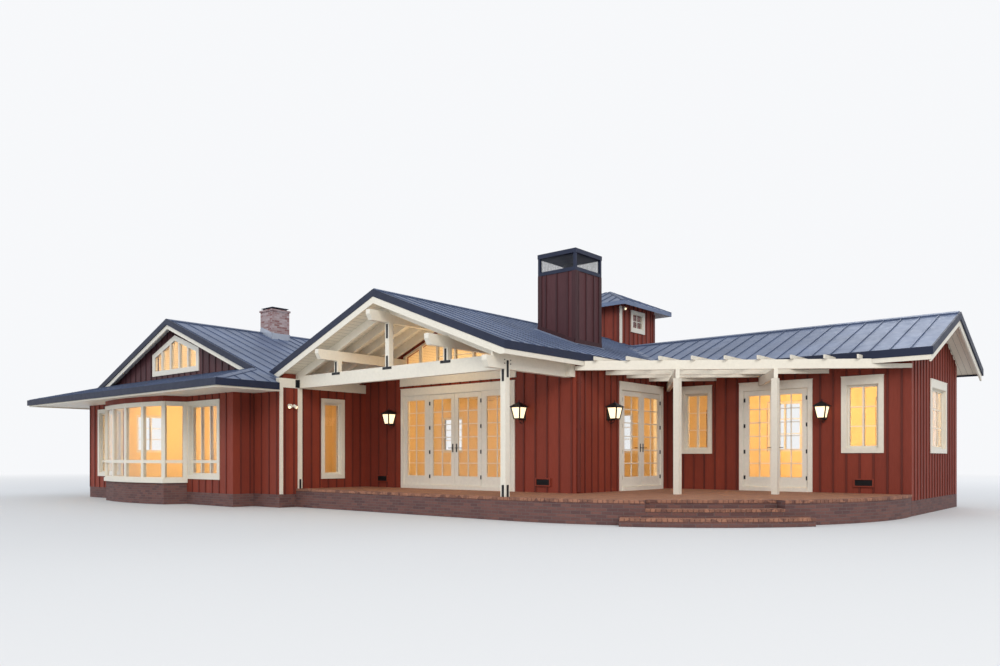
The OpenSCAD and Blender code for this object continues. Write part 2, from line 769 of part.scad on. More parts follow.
module rake_under(half_run, slope, ridge, board_h = rake_board_h, top_drop = roof_t)
    difference() {
        polygon([[-half_run, 0], [half_run, 0], [half_run, ridge - half_run * slope - top_drop],
                 [0, ridge - top_drop], [-half_run, ridge - half_run * slope - top_drop]]);
        polygon([[-high, -1], [high, -1], [high, ridge - high * slope - fascia_h - board_h],
                 [0, ridge - fascia_h - board_h], [-high, ridge - high * slope - fascia_h - board_h]]);
    }

// Section of a rake board of the pavilion, with its foot cut level
module pavilion_rake(left_end)
    intersection() {
        rake_under(high, main_slope, main_ridge_h, rake_board_h, fascia_h);
        translate([left_end, eave_board_low]) square([pavilion_half_w - board_inset - left_end, high]);
    }

module rake_boards()
    placed() color(trim_white) {
        along_y(board_inset - porch_roof_d, deck_front) pavilion_rake(valley_x);
        along_y(deck_back, pavilion_roof_back - board_inset) pavilion_rake(board_inset - pavilion_half_w);
        along_x(deck_end - trim, deck_end) translate([right_ridge_y, 0])
            rake_under(right_ridge_y - right_eave_y - trim, main_slope, right_ridge_h);
        block([pavilion_half_w - trim, deck_front, eave_board_low],
              [pavilion_half_w - board_inset, right_eave_y + trim, main_eave_h - fascia_h]);
        block([pavilion_half_w - trim, right_eave_y + board_inset, eave_board_low],
              [deck_end, right_eave_y + trim, main_eave_h - fascia_h]);
        difference() {
            translate([-left_wing_x, 0, 0]) along_y(gable_y, gable_y + trim)
                rake_under(left_roof_half_w - 1200, left_slope, left_ridge_h, gable_board_h);
            under_skirt_roof(0);
        }
    }

// Tower on the pavilion's roof
tower_x = -690;
tower_y = 8700;
tower_window_w = 720;
tower_window_low = tower_wall_h - 690;
tower_window_top = tower_wall_h - 120;

module pyramid(half_w, eave, peak)
    intersection() {
        along_y(-half_w, half_w) polygon([[-half_w, 0], [half_w, 0], [half_w, eave], [0, peak], [-half_w, eave]]);
        along_x(-half_w, half_w) polygon([[-half_w, 0], [half_w, 0], [half_w, eave], [0, peak], [-half_w, eave]]);
    }

tower_roof_half_w = tower_w / 2 + tower_overhang;
tower_eave_h = tower_wall_h + 70;

module tower_walls()
    placed() color(wood_red) difference() {
        translate([tower_x, tower_y, 0]) intersection() {
            difference() {
                block([-tower_w / 2, -tower_w / 2, 0], [tower_w / 2, tower_w / 2, high]);
                block([light_wall_t - tower_w / 2, light_wall_t - tower_w / 2, -1],
                      [tower_w / 2 - light_wall_t, tower_w / 2 - light_wall_t, high + 1]);
                block([0, -tower_window_w / 2, tower_window_low], [tower_w, tower_window_w / 2, tower_window_top]);
            }
            pyramid(tower_roof_half_w, tower_eave_h - roof_t, tower_top_h - roof_t);
        }
        under_pavilion_roof(0);
    }

module tower_roof()
    placed() color(metal_blue) translate([tower_x, tower_y, 0]) difference() {
        pyramid(tower_roof_half_w, tower_eave_h, tower_top_h);
        translate([0, 0, -1]) pyramid(tower_roof_half_w + 1, tower_eave_h - roof_t + 1, tower_top_h - roof_t + 1);
    }

// Chimneys
chase_x = 2090;
chase_y = 2345;
chase_wall_t = 100;
lid_t = 115;
cage_rail_h = 95;
cage_bar = 70;
cage_z = chase_top_h - lid_t - cage_h;

module chimney_chase()
    placed() color(wood_red) difference() {
        translate([chase_x, chase_y, 0]) difference() {
            block([-chase_w / 2, -chase_w / 2, 0], [chase_w / 2, chase_w / 2, cage_z - cage_rail_h]);
            block([chase_wall_t - chase_w / 2, chase_wall_t - chase_w / 2, -1],
                  [chase_w / 2 - chase_wall_t, chase_w / 2 - chase_wall_t, high]);
        }
        under_pavilion_roof(0);
    }

module chimney_cap()
    placed() color(metal_dark) translate([chase_x, chase_y, 0]) {
        difference() {
            block([-chase_w / 2 - 20, -chase_w / 2 - 20, cage_z - cage_rail_h], [chase_w / 2 + 20, chase_w / 2 + 20, cage_z]);
            block([-chase_w / 4, -chase_w / 4, 0], [chase_w / 4, chase_w / 4, high]);
        }
        for (sx = [-1, 1], sy = [-1, 1])
            translate([sx * (chase_w / 2 - cage_bar / 2 + 20), sy * (chase_w / 2 - cage_bar / 2 + 20), cage_z + cage_h / 2])
                cube([cage_bar, cage_bar, cage_h], center = true);
        block([-chase_w / 2 - 30, -chase_w / 2 - 30, cage_z + cage_h], [chase_w / 2 + 30, chase_w / 2 + 30, chase_top_h]);
    }

brick_chimney_x = -left_wing_x + brick_chimney_w / 2 - 10;
brick_chimney_y = 525;
brick_cap_t = 60;
flue_w = 260;

module brick_chimney()
    placed() color(brick_brown) difference() {
        translate([brick_chimney_x, brick_chimney_y, 0]) difference() {
            union() {
                block([-brick_chimney_w / 2, -brick_chimney_w / 2, 0],
                      [brick_chimney_w / 2, brick_chimney_w / 2, brick_chimney_h - brick_cap_t]);
                block([-brick_chimney_w / 2 - 30, -brick_chimney_w / 2 - 30, brick_chimney_h - brick_cap_t],
                      [brick_chimney_w / 2 + 30, brick_chimney_w / 2 + 30, brick_chimney_h]);
            }
            block([-flue_w / 2, -flue_w / 2, brick_chimney_h - 600], [flue_w / 2, flue_w / 2, high]);
        }
        under_left_roof(0);
    }

// Porch timbers: posts, plate beams with nosed tails, purlins and ridge beam
tail_y = -porch_post_d - beam_tail;
nose_h = 110;
nose_back = 80;
closure_t = 40;
end_block = [140, 200];

module porch_post_blocks(z0 = terrace_h)
    for (s = [-1, 1])
        block([s * porch_post_x - post_w / 2, -porch_post_d - post_w / 2, z0],
              [s * porch_post_x + post_w / 2, -porch_post_d + post_w / 2, beam_z]);

module porch_posts() placed() color(trim_white) porch_post_blocks();

// Side view of a beam from the nose on its tail to the wall
module beam_side(z, h)
    polygon([[tail_y, z + h], [tail_y, z + h - nose_h], [tail_y + nose_back, z], [0, z], [0, z + h]]);

module long_beam(x, z, h) along_x(x - post_w / 2, x + post_w / 2) beam_side(z, h);

purlin_z = main_ridge_h - purlin_x * main_slope - pavilion_roof_t - rafter_h - beam_h;
ridge_beam_z = main_ridge_h - pavilion_roof_t - rafter_h - beam_h;
plate_out_x = porch_post_x + post_w / 2;

module porch_beams()
    placed() color(trim_white) {
        for (s = [-1, 1]) long_beam(s * porch_post_x, beam_z, beam_h);
        for (s = [-1, 1]) long_beam(s * purlin_x, purlin_z, beam_h);
        long_beam(0, ridge_beam_z, beam_h);
        intersection() {
            union() {
                block([plate_out_x - closure_t, deck_front, beam_z + beam_h], [plate_out_x, 0, high]);
                block([plate_out_x, -end_block.y, beam_z], [plate_out_x + end_block.x, 0, high]);
            }
            under_pavilion_roof();
        }
    }

// Tie beam with its king post and the short posts under the purlins
module porch_truss()
    placed() color(trim_white) {
        block([post_w / 2 - porch_post_x, -porch_post_d - post_w / 2, beam_z],
              [porch_post_x - post_w / 2, -porch_post_d + post_w / 2, beam_z + tie_beam_h]);
        block([-post_w / 2, -porch_post_d - post_w / 2, beam_z + tie_beam_h],
              [post_w / 2, -porch_post_d + post_w / 2, ridge_beam_z]);
        for (s = [-1, 1])
            block([s * purlin_x - post_w / 2, -porch_post_d - post_w / 2, beam_z + tie_beam_h],
                  [s * purlin_x + post_w / 2, -porch_post_d + post_w / 2, purlin_z]);
    }

// Exposed rafters, the first pair over the truss; a board closes them over the right plate beam
rafter_first_y = -porch_post_d;
rafter_step = (-rafter_first_y - rafter_w) / (rafter_pairs - 0.5);

ridge_gap = 8;
rafter_top_h = main_ridge_h - pavilion_roof_t - ridge_gap / 2 * main_slope;

// Section of one rafter, from the ridge out to x = reach, cut over what carries it
module rafter(reach, seats)
    difference() {
        polygon([[ridge_gap / 2, rafter_top_h], [ridge_gap / 2, rafter_top_h - rafter_h],
                 [reach, main_ridge_h - reach * main_slope - pavilion_roof_t - rafter_h],
                 [reach, main_ridge_h - reach * main_slope - pavilion_roof_t]]);
        for (seat = seats) translate([seat[0] - post_w / 2, 0]) square([post_w, seat[1] + beam_h]);
    }

module porch_rafters()
    placed() color(trim_white) for (i = [0:rafter_pairs - 1])
        translate([0, rafter_first_y + i * rafter_step, 0]) along_y(-rafter_w / 2, rafter_w / 2)
            difference() {
                union() {
                    rafter(plate_out_x - closure_t, rafter_seats);
                    mirror([1, 0]) rafter(plate_out_x, rafter_seats);
                }
                if (i == 0)
                    translate([-porch_post_x, 0]) square([2 * porch_post_x, beam_z + tie_beam_h]);
            }

rafter_seats = [[0, ridge_beam_z], [purlin_x, purlin_z], [porch_post_x, beam_z]];

// Black iron straps on the truss and the posts
bolt_r = 14;
strap_y = -porch_post_d - post_w / 2;

module plate_front(x, z, w, h) block([x - w / 2, strap_y - strap_t, z], [x + w / 2, strap_y, z + h]);

module foot_strap(x) {
    plate_front(x, beam_z + tie_beam_h - 70, 4 * strap_w, strap_w);
    plate_front(x, beam_z + tie_beam_h - 70, strap_w, 330);
}

module iron_straps()
    placed() color(iron_black) {
        for (s = [-1, 0, 1]) foot_strap(s * purlin_x);
        for (z = [terrace_h, beam_z - 260]) plate_front(porch_post_x, z, strap_w, 260);
    }

// Pergola in the inside corner
girder_w = 90;
header_board_h = 270;
pergola_posts_at = [[5910, 1220], [7630, 2680]];
joist_from = [4090, 70];
joist_to = [10090, 4460];
joist_w = 60;
joist_ys = [0, 1320, 2310, 3450];
joist_z = pergola_z + pergola_beam_h;
joist_angle = atan2(joist_to.y - joist_from.y, joist_to.x - joist_from.x);
rafter_pitch = 600;

module pergola_posts()
    placed() color(trim_white) for (p = pergola_posts_at)
        block([p.x - post_w / 2, p.y - post_w / 2, terrace_h], [p.x + post_w / 2, p.y + post_w / 2, pergola_z]);

module bar(p, q, w, h, before = 0, after = 0)
    translate([p.x, p.y, 0]) rotate([0, 0, atan2(q.y - p.y, q.x - p.x)])
        translate([-before, -w / 2, 0]) cube([norm(q - p) + before + after, w, h]);

inside_corner = [pavilion_wall_half_w, right_wing_front];
eave_clear_h = eave_board_low - 5;

module pergola_space()
    difference() {
        block([pavilion_wall_half_w, -high, 0], [roof_end_x, right_wing_front, high]);
        block([0, -high, eave_clear_h], [pavilion_half_w + 5, high, high]);
        block([0, right_eave_y - 5, eave_clear_h], [roof_end_x, high, high]);
    }

module pergola_beams()
    placed() color(trim_white) intersection() {
        union() {
            translate([0, 0, pergola_z]) {
                bar(pergola_posts_at[0], inside_corner, girder_w, pergola_beam_h, post_w / 2, 300);
                difference() {
                    bar(pergola_posts_at[1], pergola_posts_at[1] + inside_corner - pergola_posts_at[0],
                        girder_w, pergola_beam_h, post_w / 2);
                    block([0, right_wing_front - 80, -1], [roof_end_x, high, high]);
                }
            }
            translate([0, 0, joist_z]) {
                bar(joist_from, joist_to, joist_w, pergola_beam_h, 150);
                for (y = joist_ys)
                    bar([pavilion_wall_half_w, y], [pavilion_wall_half_w, y] + joist_to - joist_from,
                        joist_w, pergola_beam_h, 100);
            }
        }
        pergola_space();
    }

module pergola_rafters()
    placed() color(trim_white) translate([0, 0, joist_z + pergola_beam_h])
        for (x = [pavilion_half_w + 250:rafter_pitch:joist_to.x - 900]) {
            y0 = joist_from.y + (x - joist_from.x) * tan(joist_angle) - 180;
            block([x - 20, y0, 0], [x + 20, right_eave_y - 10, pergola_rafter_h]);
        }

// Terrace with its round edge and steps
arc_x = porch_post_x + post_w / 2;
arc_y = terrace_r - terrace_front;
step_from = -62;
step_to = -37;
step_spread = 4.2;

module sector(r0, r1, a0, a1)
    intersection() {
        difference() {
            circle(r1, $fn = 360);
            circle(r0, $fn = 360);
        }
        polygon([[0, 0], 2 * r1 * [cos(a0), sin(a0)], 2 * r1 * [cos((a0 + a1) / 2), sin((a0 + a1) / 2)],
                 2 * r1 * [cos(a1), sin(a1)]]);
    }

module terrace()
    placed() color(brick_brown) linear_extrude(terrace_h) difference() {
        union() {
            translate([arc_x, arc_y]) circle(terrace_r, $fn = 360);
            translate([porch_left, -terrace_front]) square([arc_x - porch_left, terrace_front]);
        }
        polygon(outline);
        translate([-high, right_wing_front]) square([3 * high, 2 * high]);
        translate([-high, 0]) square([high + arc_x, high]);
        translate([arc_x, arc_y]) sector(terrace_r - tread_d - 1, terrace_r + 100, step_from - 0.01, step_to + 0.01);
    }

module terrace_steps()
    placed() color(brick_brown) translate([arc_x, arc_y, 0])
        for (i = [1:riser_count - 1]) {
            below = riser_count - 1 - i;
            r = terrace_r + below * tread_d;
            linear_extrude(terrace_h * i / riser_count) {
                sector(terrace_r - tread_d, r, step_from, step_to);
                if (below > 0) sector(terrace_r, r, step_from - below * step_spread, step_to + below * step_spread);
            }
        }

// Doors
module door_casing(w) {
    side = w / 2 + reveal;
    for (s = [-1, 1])
        translate([s * (side + casing_w / 2), -casing_t / 2, (terrace_h + door_head + reveal) / 2])
            cube([casing_w, casing_t, door_head + reveal - terrace_h], center = true);
    head_casing(side + casing_w, door_head + reveal);
}

drip_lap = 8;

module head_casing(half_w, z) {
    block([-half_w, -casing_t, z], [half_w, 0, z + head_casing_h]);
    block([-half_w - drip_lap, -casing_t - drip_lap, z + head_casing_h], [half_w + drip_lap, 0, z + head_casing_h + crown_h]);
}

module door_frame(w) {
    difference() {
        block([-w / 2 - frame_w, 0, foundation_h], [w / 2 + frame_w, wall_t, opening_top]);
        block([-w / 2, -1, floor_h + sill_h], [w / 2, leaf_t + leaf_gap, door_head]);
        block([-w / 2 + reveal, 0, floor_h + sill_h], [w / 2 - reveal, wall_t + 1, door_head - reveal]);
    }
    block([-w / 2 - reveal, -2 * casing_t, terrace_h], [w / 2 + reveal, 0, floor_h + sill_h]);
}

// A leaf's stiles and rails, from its hinge edge at x = 0
module leaf_ring(w)
    difference() {
        block([0, 0, leaf_bottom], [w, leaf_t, leaf_bottom + leaf_h]);
        block([stile_w, -1, leaf_bottom + bottom_rail_h], [w - stile_w, leaf_t + 1, leaf_bottom + leaf_h - stile_w]);
    }

module fixed_leaf(w)
    difference() {
        block([0, 0, floor_h + sill_h], [w, leaf_t, door_head]);
        block([stile_w, -1, leaf_bottom + bottom_rail_h], [w - stile_w, leaf_t + 1, leaf_bottom + leaf_h - stile_w]);
    }

module fixed_pane(w)
    block([stile_w, (leaf_t - glass_t) / 2, leaf_bottom + bottom_rail_h],
          [w - stile_w, (leaf_t + glass_t) / 2, leaf_bottom + leaf_h - stile_w]);

fixed_leaf_x = pair_w(porch_leaf_w) / 2 + mullion_w;

module door_frames()
    placed() color(trim_white) {
        door_frame(porch_unit_w - 2 * frame_w);
        on_face(90, pavilion_wall_half_w, side_door_y) door_frame(pair_w(side_leaf_w));
        on_face(0, wing_door_x, right_wing_front) door_frame(pair_w(wing_leaf_w));
    }

module porch_sidelights()
    placed() color(trim_white) for (s = [0, 1]) mirror([s, 0, 0]) {
        block([pair_w(porch_leaf_w) / 2, 0, floor_h + sill_h], [fixed_leaf_x, leaf_t, door_head]);
        translate([fixed_leaf_x, 0, 0]) fixed_leaf(porch_leaf_w);
    }

module door_casings()
    placed() color(trim_white) {
        door_casing(porch_unit_w - 2 * frame_w);
        block([-clerestory_half_w - casing_w, -casing_t, clerestory_low - header_board_h],
              [clerestory_half_w + casing_w, 0, clerestory_low]);
        on_face(90, pavilion_wall_half_w, side_door_y) door_casing(pair_w(side_leaf_w));
        on_face(0, wing_door_x, right_wing_front) door_casing(pair_w(wing_leaf_w));
    }

handle_h = 1000;

module door_leaf(w)
    translate([leaf_gap, 0, 0]) {
        leaf_ring(w);
        block([stile_w - 10, (leaf_t - glass_t) / 2, leaf_bottom + bottom_rail_h - 10],
              [w - stile_w + 10, (leaf_t + glass_t) / 2, leaf_bottom + leaf_h - stile_w + 10]);
        for (i = [0:knuckles - 1]) {
            z = leaf_bottom + 180 + i * (leaf_h - 360 - knuckle_h) / (knuckles - 1);
            translate([-leaf_gap, -knuckle_r, z]) cylinder(h = knuckle_h, r = knuckle_r, $fn = 32);
            block([-leaf_gap, -4, z], [30, 0, z + knuckle_h]);
        }
        for (side = [0, 1]) translate([w - stile_w / 2, side * leaf_t, leaf_bottom + handle_h]) mirror([0, side, 0]) {
            block([-20, -6, -110], [20, 0, 110]);
            block([-8, -50, -8], [8, -6, 8]);
            block([-110, -62, -8], [8, -50, 8]);
        }
    }

module pair_leaf(w, side) mirror([side, 0, 0]) translate([-pair_w(w) / 2, 0, 0]) door_leaf(w);

module porch_door_left() placed() color(trim_white) pair_leaf(porch_leaf_w, 0);
module porch_door_right() placed() color(trim_white) pair_leaf(porch_leaf_w, 1);
module side_door_front()
    placed() color(trim_white) on_face(90, pavilion_wall_half_w, side_door_y) pair_leaf(side_leaf_w, 0);
module side_door_back()
    placed() color(trim_white) on_face(90, pavilion_wall_half_w, side_door_y) pair_leaf(side_leaf_w, 1);
module wing_door_left()
    placed() color(trim_white) on_face(0, wing_door_x, right_wing_front) pair_leaf(wing_leaf_w, 0);
module wing_door_right()
    placed() color(trim_white) on_face(0, wing_door_x, right_wing_front) pair_leaf(wing_leaf_w, 1);

// Windows
sash_w = 45;
light_bar = 40;

module window_frame(v) {
    w = v[3];
    z0 = v[4];
    z1 = v[5];
    light_w = (w - 2 * frame_w) / v[6];
    difference() {
        block([-w / 2, 0, z0], [w / 2, wall_t * 0.8, z1]);
        block([-w / 2 + frame_w, -1, z0 + frame_w], [w / 2 - frame_w, glass_y - 15, z1 - frame_w]);
        for (cut = lights(v)) block([cut[0], -1, cut[2]], [cut[1], wall_t, cut[3]]);
    }
    side = w / 2 - casing_lap;
    foot = z0 + casing_lap;
    difference() {
        block([-side - casing_w, -casing_t, foot - casing_w], [side + casing_w, 0, z1 - casing_lap + (1 - v[8]) * casing_w]);
        block([-side, -casing_t - 1, foot], [side, 1, z1 - casing_lap]);
    }
    if (v[8] == 1) head_casing(side + casing_w, z1 - casing_lap);
}

glass_y = 80;

// Clear openings of a window's lights: [left, right, low, high]
function lights(v) =
    let (w = v[3], n = v[6], inner = w - 2 * frame_w, step = inner / n,
         low = v[4] + frame_w + sash_w, top = v[5] - frame_w - sash_w,
         bands = v[7] > 0 ? [[low, v[7] - light_bar], [v[7] + light_bar, top]] : [[low, top]])
        [for (i = [0:n - 1], b = bands)
            [-inner / 2 + i * step + (i == 0 ? sash_w : light_bar / 2),
             -inner / 2 + (i + 1) * step - (i == n - 1 ? sash_w : light_bar / 2), b[0], b[1]]];

module window_panes(v)
    for (cut = lights(v)) block([cut[0], glass_y, cut[2]], [cut[1], glass_y + glass_t, cut[3]]);

// Five sided window in the left wing's gable
module gable_window()
    difference() {
        translate([-left_wing_x, 0, 0]) {
            along_y(gable_wall_y - casing_t, gable_wall_y) polygon(gable_pentagon(100));
            along_y(gable_wall_y, gable_wall_y + light_wall_t / 2) polygon(gable_pentagon(0));
        }
        translate([-left_wing_x, 0, 0]) gable_light_holes(gable_wall_y - casing_t - 1, gable_wall_y + light_wall_t);
        under_skirt_roof(0);
    }

gable_bar = 70;
module gable_light_holes(y0, y1)
    difference() {
        along_y(y0, y1) polygon(gable_pentagon(-60));
        for (i = [1:gable_lights - 1])
            block([(i / gable_lights * 2 - 1) * gable_window_half_w - gable_bar / 2, y0 - 1, 0],
                  [(i / gable_lights * 2 - 1) * gable_window_half_w + gable_bar / 2, y1 + 1, high]);
    }

// Clerestory over the porch doors
clerestory_lights = 6;
module clerestory_holes(y0, y1)
    difference() {
        along_y(y0, y1) clerestory_outline(-60);
        for (i = [1:clerestory_lights - 1])
            block([(i / clerestory_lights * 2 - 1) * clerestory_half_w - 30, y0 - 1, 0],
                  [(i / clerestory_lights * 2 - 1) * clerestory_half_w + 30, y1 + 1, high]);
    }

module clerestory_frame()
    difference() {
        along_y(0, wall_t / 2) clerestory_outline();
        clerestory_holes(-1, wall_t);
    }

// Tower window
module tower_window_unit() on_face(90, tower_x + tower_w / 2, tower_y) {
    difference() {
        block([-tower_window_w / 2, 0, tower_window_low], [tower_window_w / 2, light_wall_t / 2, tower_window_top]);
        block([60 - tower_window_w / 2, -1, tower_window_low + 60], [tower_window_w / 2 - 60, light_wall_t, tower_window_top - 60]);
    }
    difference() {
        block([-tower_window_w / 2 - 100, -casing_t, tower_window_low - 110],
              [tower_window_w / 2 + 100, 0, tower_window_top + 70]);
        block([20 - tower_window_w / 2, -casing_t - 1, tower_window_low + 20],
              [tower_window_w / 2 - 20, 1, tower_window_top - 20]);
    }
}

// Bow window: its outline in plan, from the left round to the right
bow_line = [[-bow_half_w, 0], [-0.904 * bow_half_w, -0.733 * bow_d], [-0.457 * bow_half_w, -0.93 * bow_d],
            [0, -bow_d], [0.457 * bow_half_w, -0.93 * bow_d], [0.904 * bow_half_w, -0.733 * bow_d], [bow_half_w, 0]];

// The line moved inwards by d
function moved_line(points, d) = [
    for (i = [0:len(points) - 1])
        let (n0 = left_of(unit(points[max(i, 1)] - points[max(i, 1) - 1])),
             k = min(i, len(points) - 2),
             n1 = left_of(unit(points[k + 1] - points[k])))
            points[i] + d * (n0 + n1) / (1 + n0 * n1)
];
function reversed(list) = [for (i = [len(list) - 1:-1:0]) list[i]];

module bow_band(d0, d1, z0, z1)
    translate([-left_wing_x, -left_wing_front, z0]) linear_extrude(z1 - z0) intersection() {
        polygon(concat(moved_line(bow_line, d0), reversed(moved_line(bow_line, d1))));
        translate([-high, -high]) square([2 * high, high]);
    }

module bow_plan(d, z0, z1)
    translate([-left_wing_x, -left_wing_front, z0]) linear_extrude(z1 - z0) intersection() {
        polygon(moved_line(bow_line, d));
        translate([-high, -high]) square([2 * high, high]);
    }

module bow_posts(z0, z1)
    for (i = [0:len(bow_line) - 1]) {
        p = moved_line(bow_line, bow_post_w / 2)[i];
        before = bow_line[max(i - 1, 0)];
        after = bow_line[min(i + 1, len(bow_line) - 1)];
        translate([-left_wing_x + p.x, -left_wing_front + min(p.y, -bow_post_w / 2), (z0 + z1) / 2])
            rotate([0, 0, atan2(after.y - before.y, after.x - before.x)])
                cube([bow_post_w, bow_post_w, z1 - z0], center = true);
    }

bow_rail_h = 90;
module bow_header() bow_band(10, 120, low_head_h, soffit_h);

module bow_base()
    placed() color(brick_brown) bow_plan(30, 0, low_sill_h - casing_w);

module bow_window()
    placed() color(trim_white) {
        bow_plan(-30, low_sill_h - casing_w, low_sill_h);
        bow_band(0, bow_post_w, low_sill_h, low_sill_h + 50);
        bow_band(0, bow_post_w, rail_z - bow_rail_h / 2, rail_z + bow_rail_h / 2);
        bow_band(0, bow_post_w, low_head_h - 130, low_head_h);
        intersection() {
            bow_posts(low_sill_h, low_head_h);
            block([-high * 2, -high, 0], [0, -left_wing_front, high]);
        }
    }

module bow_panes()
    difference() {
        union() {
            bow_band(45, 45 + glass_t, low_sill_h + 50, rail_z - bow_rail_h / 2);
            bow_band(45, 45 + glass_t, rail_z + bow_rail_h / 2, low_head_h - 130);
        }
        bow_posts(0, high);
    }

module window_frames()
    placed() color(trim_white) {
        for (v = all_windows) on_face(v[0], v[1], v[2]) window_frame(v);
        gable_window();
        clerestory_frame();
        tower_window_unit();
    }

module window_glass()
    placed() color(glass_blue) {
        for (v = all_windows) on_face(v[0], v[1], v[2]) window_panes(v);
        translate([-left_wing_x, 0, 0]) gable_light_holes(gable_wall_y + 20, gable_wall_y + 20 + glass_t);
        clerestory_holes(40, 40 + glass_t);
        on_face(90, tower_x + tower_w / 2, tower_y)
            block([60 - tower_window_w / 2, 30, tower_window_low + 60],
                  [tower_window_w / 2 - 60, 30 + glass_t, tower_window_top - 60]);
        bow_panes();
        for (s = [0, 1]) mirror([s, 0, 0]) translate([fixed_leaf_x, 0, 0]) fixed_pane(porch_leaf_w);
    }

// Wall lanterns
lantern_half_w = 150;
lantern_foot_w = 95;
lantern_h = 300;
lantern_out = 210;
lantern_gap = 380;
side_lantern_gap = 625;

module tapered_box(low_w, high_w, h)
    intersection() {
        along_y(-high_w, high_w) polygon([[-low_w, 0], [low_w, 0], [high_w, h], [-high_w, h]]);
        along_x(-high_w, high_w) polygon([[-low_w, 0], [low_w, 0], [high_w, h], [-high_w, h]]);
    }

module lantern() {
    block([-50, -15, lantern_z + 60], [50, 0, lantern_z + 330]);
    block([-12, -lantern_out, lantern_z + 60], [12, -15, lantern_z + 84]);
    translate([0, -lantern_out, lantern_z + 84]) {
        difference() {
            tapered_box(lantern_foot_w, lantern_half_w, lantern_h);
            translate([0, 0, 15]) tapered_box(lantern_foot_w - 12, lantern_half_w - 14, lantern_h);
            for (turn = [0, 90]) rotate([0, 0, turn]) along_y(-high, high)
                polygon([[-lantern_foot_w + 22, 25], [lantern_foot_w - 22, 25],
                         [lantern_half_w - 28, lantern_h - 15], [28 - lantern_half_w, lantern_h - 15]]);
        }
        translate([0, 0, lantern_h]) pyramid(lantern_half_w + 20, 12, 130);
        translate([0, 0, lantern_h + 110]) cylinder(h = 60, r = 10, $fn = 24);
    }
}

module wall_lanterns()
    placed() color(iron_black) {
        for (s = [-1, 1]) on_face(0, s * (porch_unit_w / 2 + lantern_gap), 0) lantern();
        on_face(90, pavilion_wall_half_w, side_door_y - side_door_w / 2 - side_lantern_gap) lantern();
        on_face(0, wing_door_x + wing_door_w / 2 + lantern_gap, right_wing_front) lantern();
    }

foundation();
floor();
terrace();
terrace_steps();
left_wing_front_wall();
left_wing_side_wall();
left_wing_back_wall();
left_wing_gable_wall();
link_wall();
porch_left_wall();
porch_wall_left();
porch_wall_right();
porch_gable_wall();
side_wall_front();
side_wall_back();
door_header_walls();
right_wing_wall_left();
right_wing_wall_right();
right_wing_end_wall();
right_wing_back_wall();
pavilion_left_wall();
pavilion_back_wall();
pavilion_right_wall();
bow_base();
bow_window();
left_wing_roof_left();
left_wing_roof_right();
left_wing_skirt_roof();
pavilion_roof_left();
pavilion_roof_right();
right_wing_roof_front();
right_wing_roof_back();
left_wing_soffit();
metal_fascias();
rake_boards();
tower_walls();
tower_roof();
chimney_chase();
chimney_cap();
brick_chimney();
porch_posts();
porch_truss();
porch_beams();
porch_rafters();
iron_straps();
pergola_posts();
pergola_beams();
pergola_rafters();
window_frames();
window_glass();
porch_sidelights();
door_frames();
door_casings();
wall_lanterns();
porch_door_left();
porch_door_right();
side_door_front();
side_door_back();
wing_door_left();
wing_door_right();
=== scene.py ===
import json
import math

import bmesh
import bpy
from mathutils import Matrix, Vector


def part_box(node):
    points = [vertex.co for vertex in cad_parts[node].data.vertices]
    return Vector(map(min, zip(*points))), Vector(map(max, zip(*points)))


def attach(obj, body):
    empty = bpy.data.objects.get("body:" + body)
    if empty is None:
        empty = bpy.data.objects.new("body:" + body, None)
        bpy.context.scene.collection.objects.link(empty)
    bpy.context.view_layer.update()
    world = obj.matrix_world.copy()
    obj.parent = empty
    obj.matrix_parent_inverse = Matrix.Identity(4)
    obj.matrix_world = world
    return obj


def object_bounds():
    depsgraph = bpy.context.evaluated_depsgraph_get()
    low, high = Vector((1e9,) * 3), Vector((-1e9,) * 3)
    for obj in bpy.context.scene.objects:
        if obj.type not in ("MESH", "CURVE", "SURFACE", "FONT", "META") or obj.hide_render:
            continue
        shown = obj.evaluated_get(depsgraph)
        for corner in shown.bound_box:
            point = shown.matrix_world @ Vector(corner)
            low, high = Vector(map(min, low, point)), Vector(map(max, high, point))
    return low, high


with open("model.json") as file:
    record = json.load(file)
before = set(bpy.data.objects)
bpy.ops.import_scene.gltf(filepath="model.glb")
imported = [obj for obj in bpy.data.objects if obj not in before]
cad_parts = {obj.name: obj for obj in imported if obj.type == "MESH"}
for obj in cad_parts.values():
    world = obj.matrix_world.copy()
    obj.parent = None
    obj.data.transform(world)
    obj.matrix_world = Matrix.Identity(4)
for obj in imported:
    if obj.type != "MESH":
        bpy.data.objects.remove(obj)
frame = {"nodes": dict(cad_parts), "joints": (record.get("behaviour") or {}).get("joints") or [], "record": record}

cadBox = [list(corner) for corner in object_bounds()]
nodes = frame["nodes"]
print("frame loaded,", len(nodes), "nodes")

sides = {"+x": Vector((1, 0, 0)), "-x": Vector((-1, 0, 0)),
         "+y": Vector((0, 1, 0)), "-y": Vector((0, -1, 0))}


# short helpers for materials
def newMaterial(name, roughness, metallic=0.0):
    material = bpy.data.materials.new(name)
    material.use_nodes = True
    tree = material.node_tree
    shader = tree.nodes["Principled BSDF"]
    shader.inputs["Roughness"].default_value = roughness
    shader.inputs["Metallic"].default_value = metallic
    return material, tree, shader


def addNode(tree, kind, values=None, **settings):
    node = tree.nodes.new("ShaderNode" + kind)
    for key, value in settings.items():
        setattr(node, key, value)
    for key, value in (values or {}).items():
        node.inputs[key].default_value = value
    return node


def wire(tree, source, node, socket):
    tree.links.new(source, node.inputs[socket])


def objectPlace(tree):
    return addNode(tree, "TexCoord").outputs["Object"]


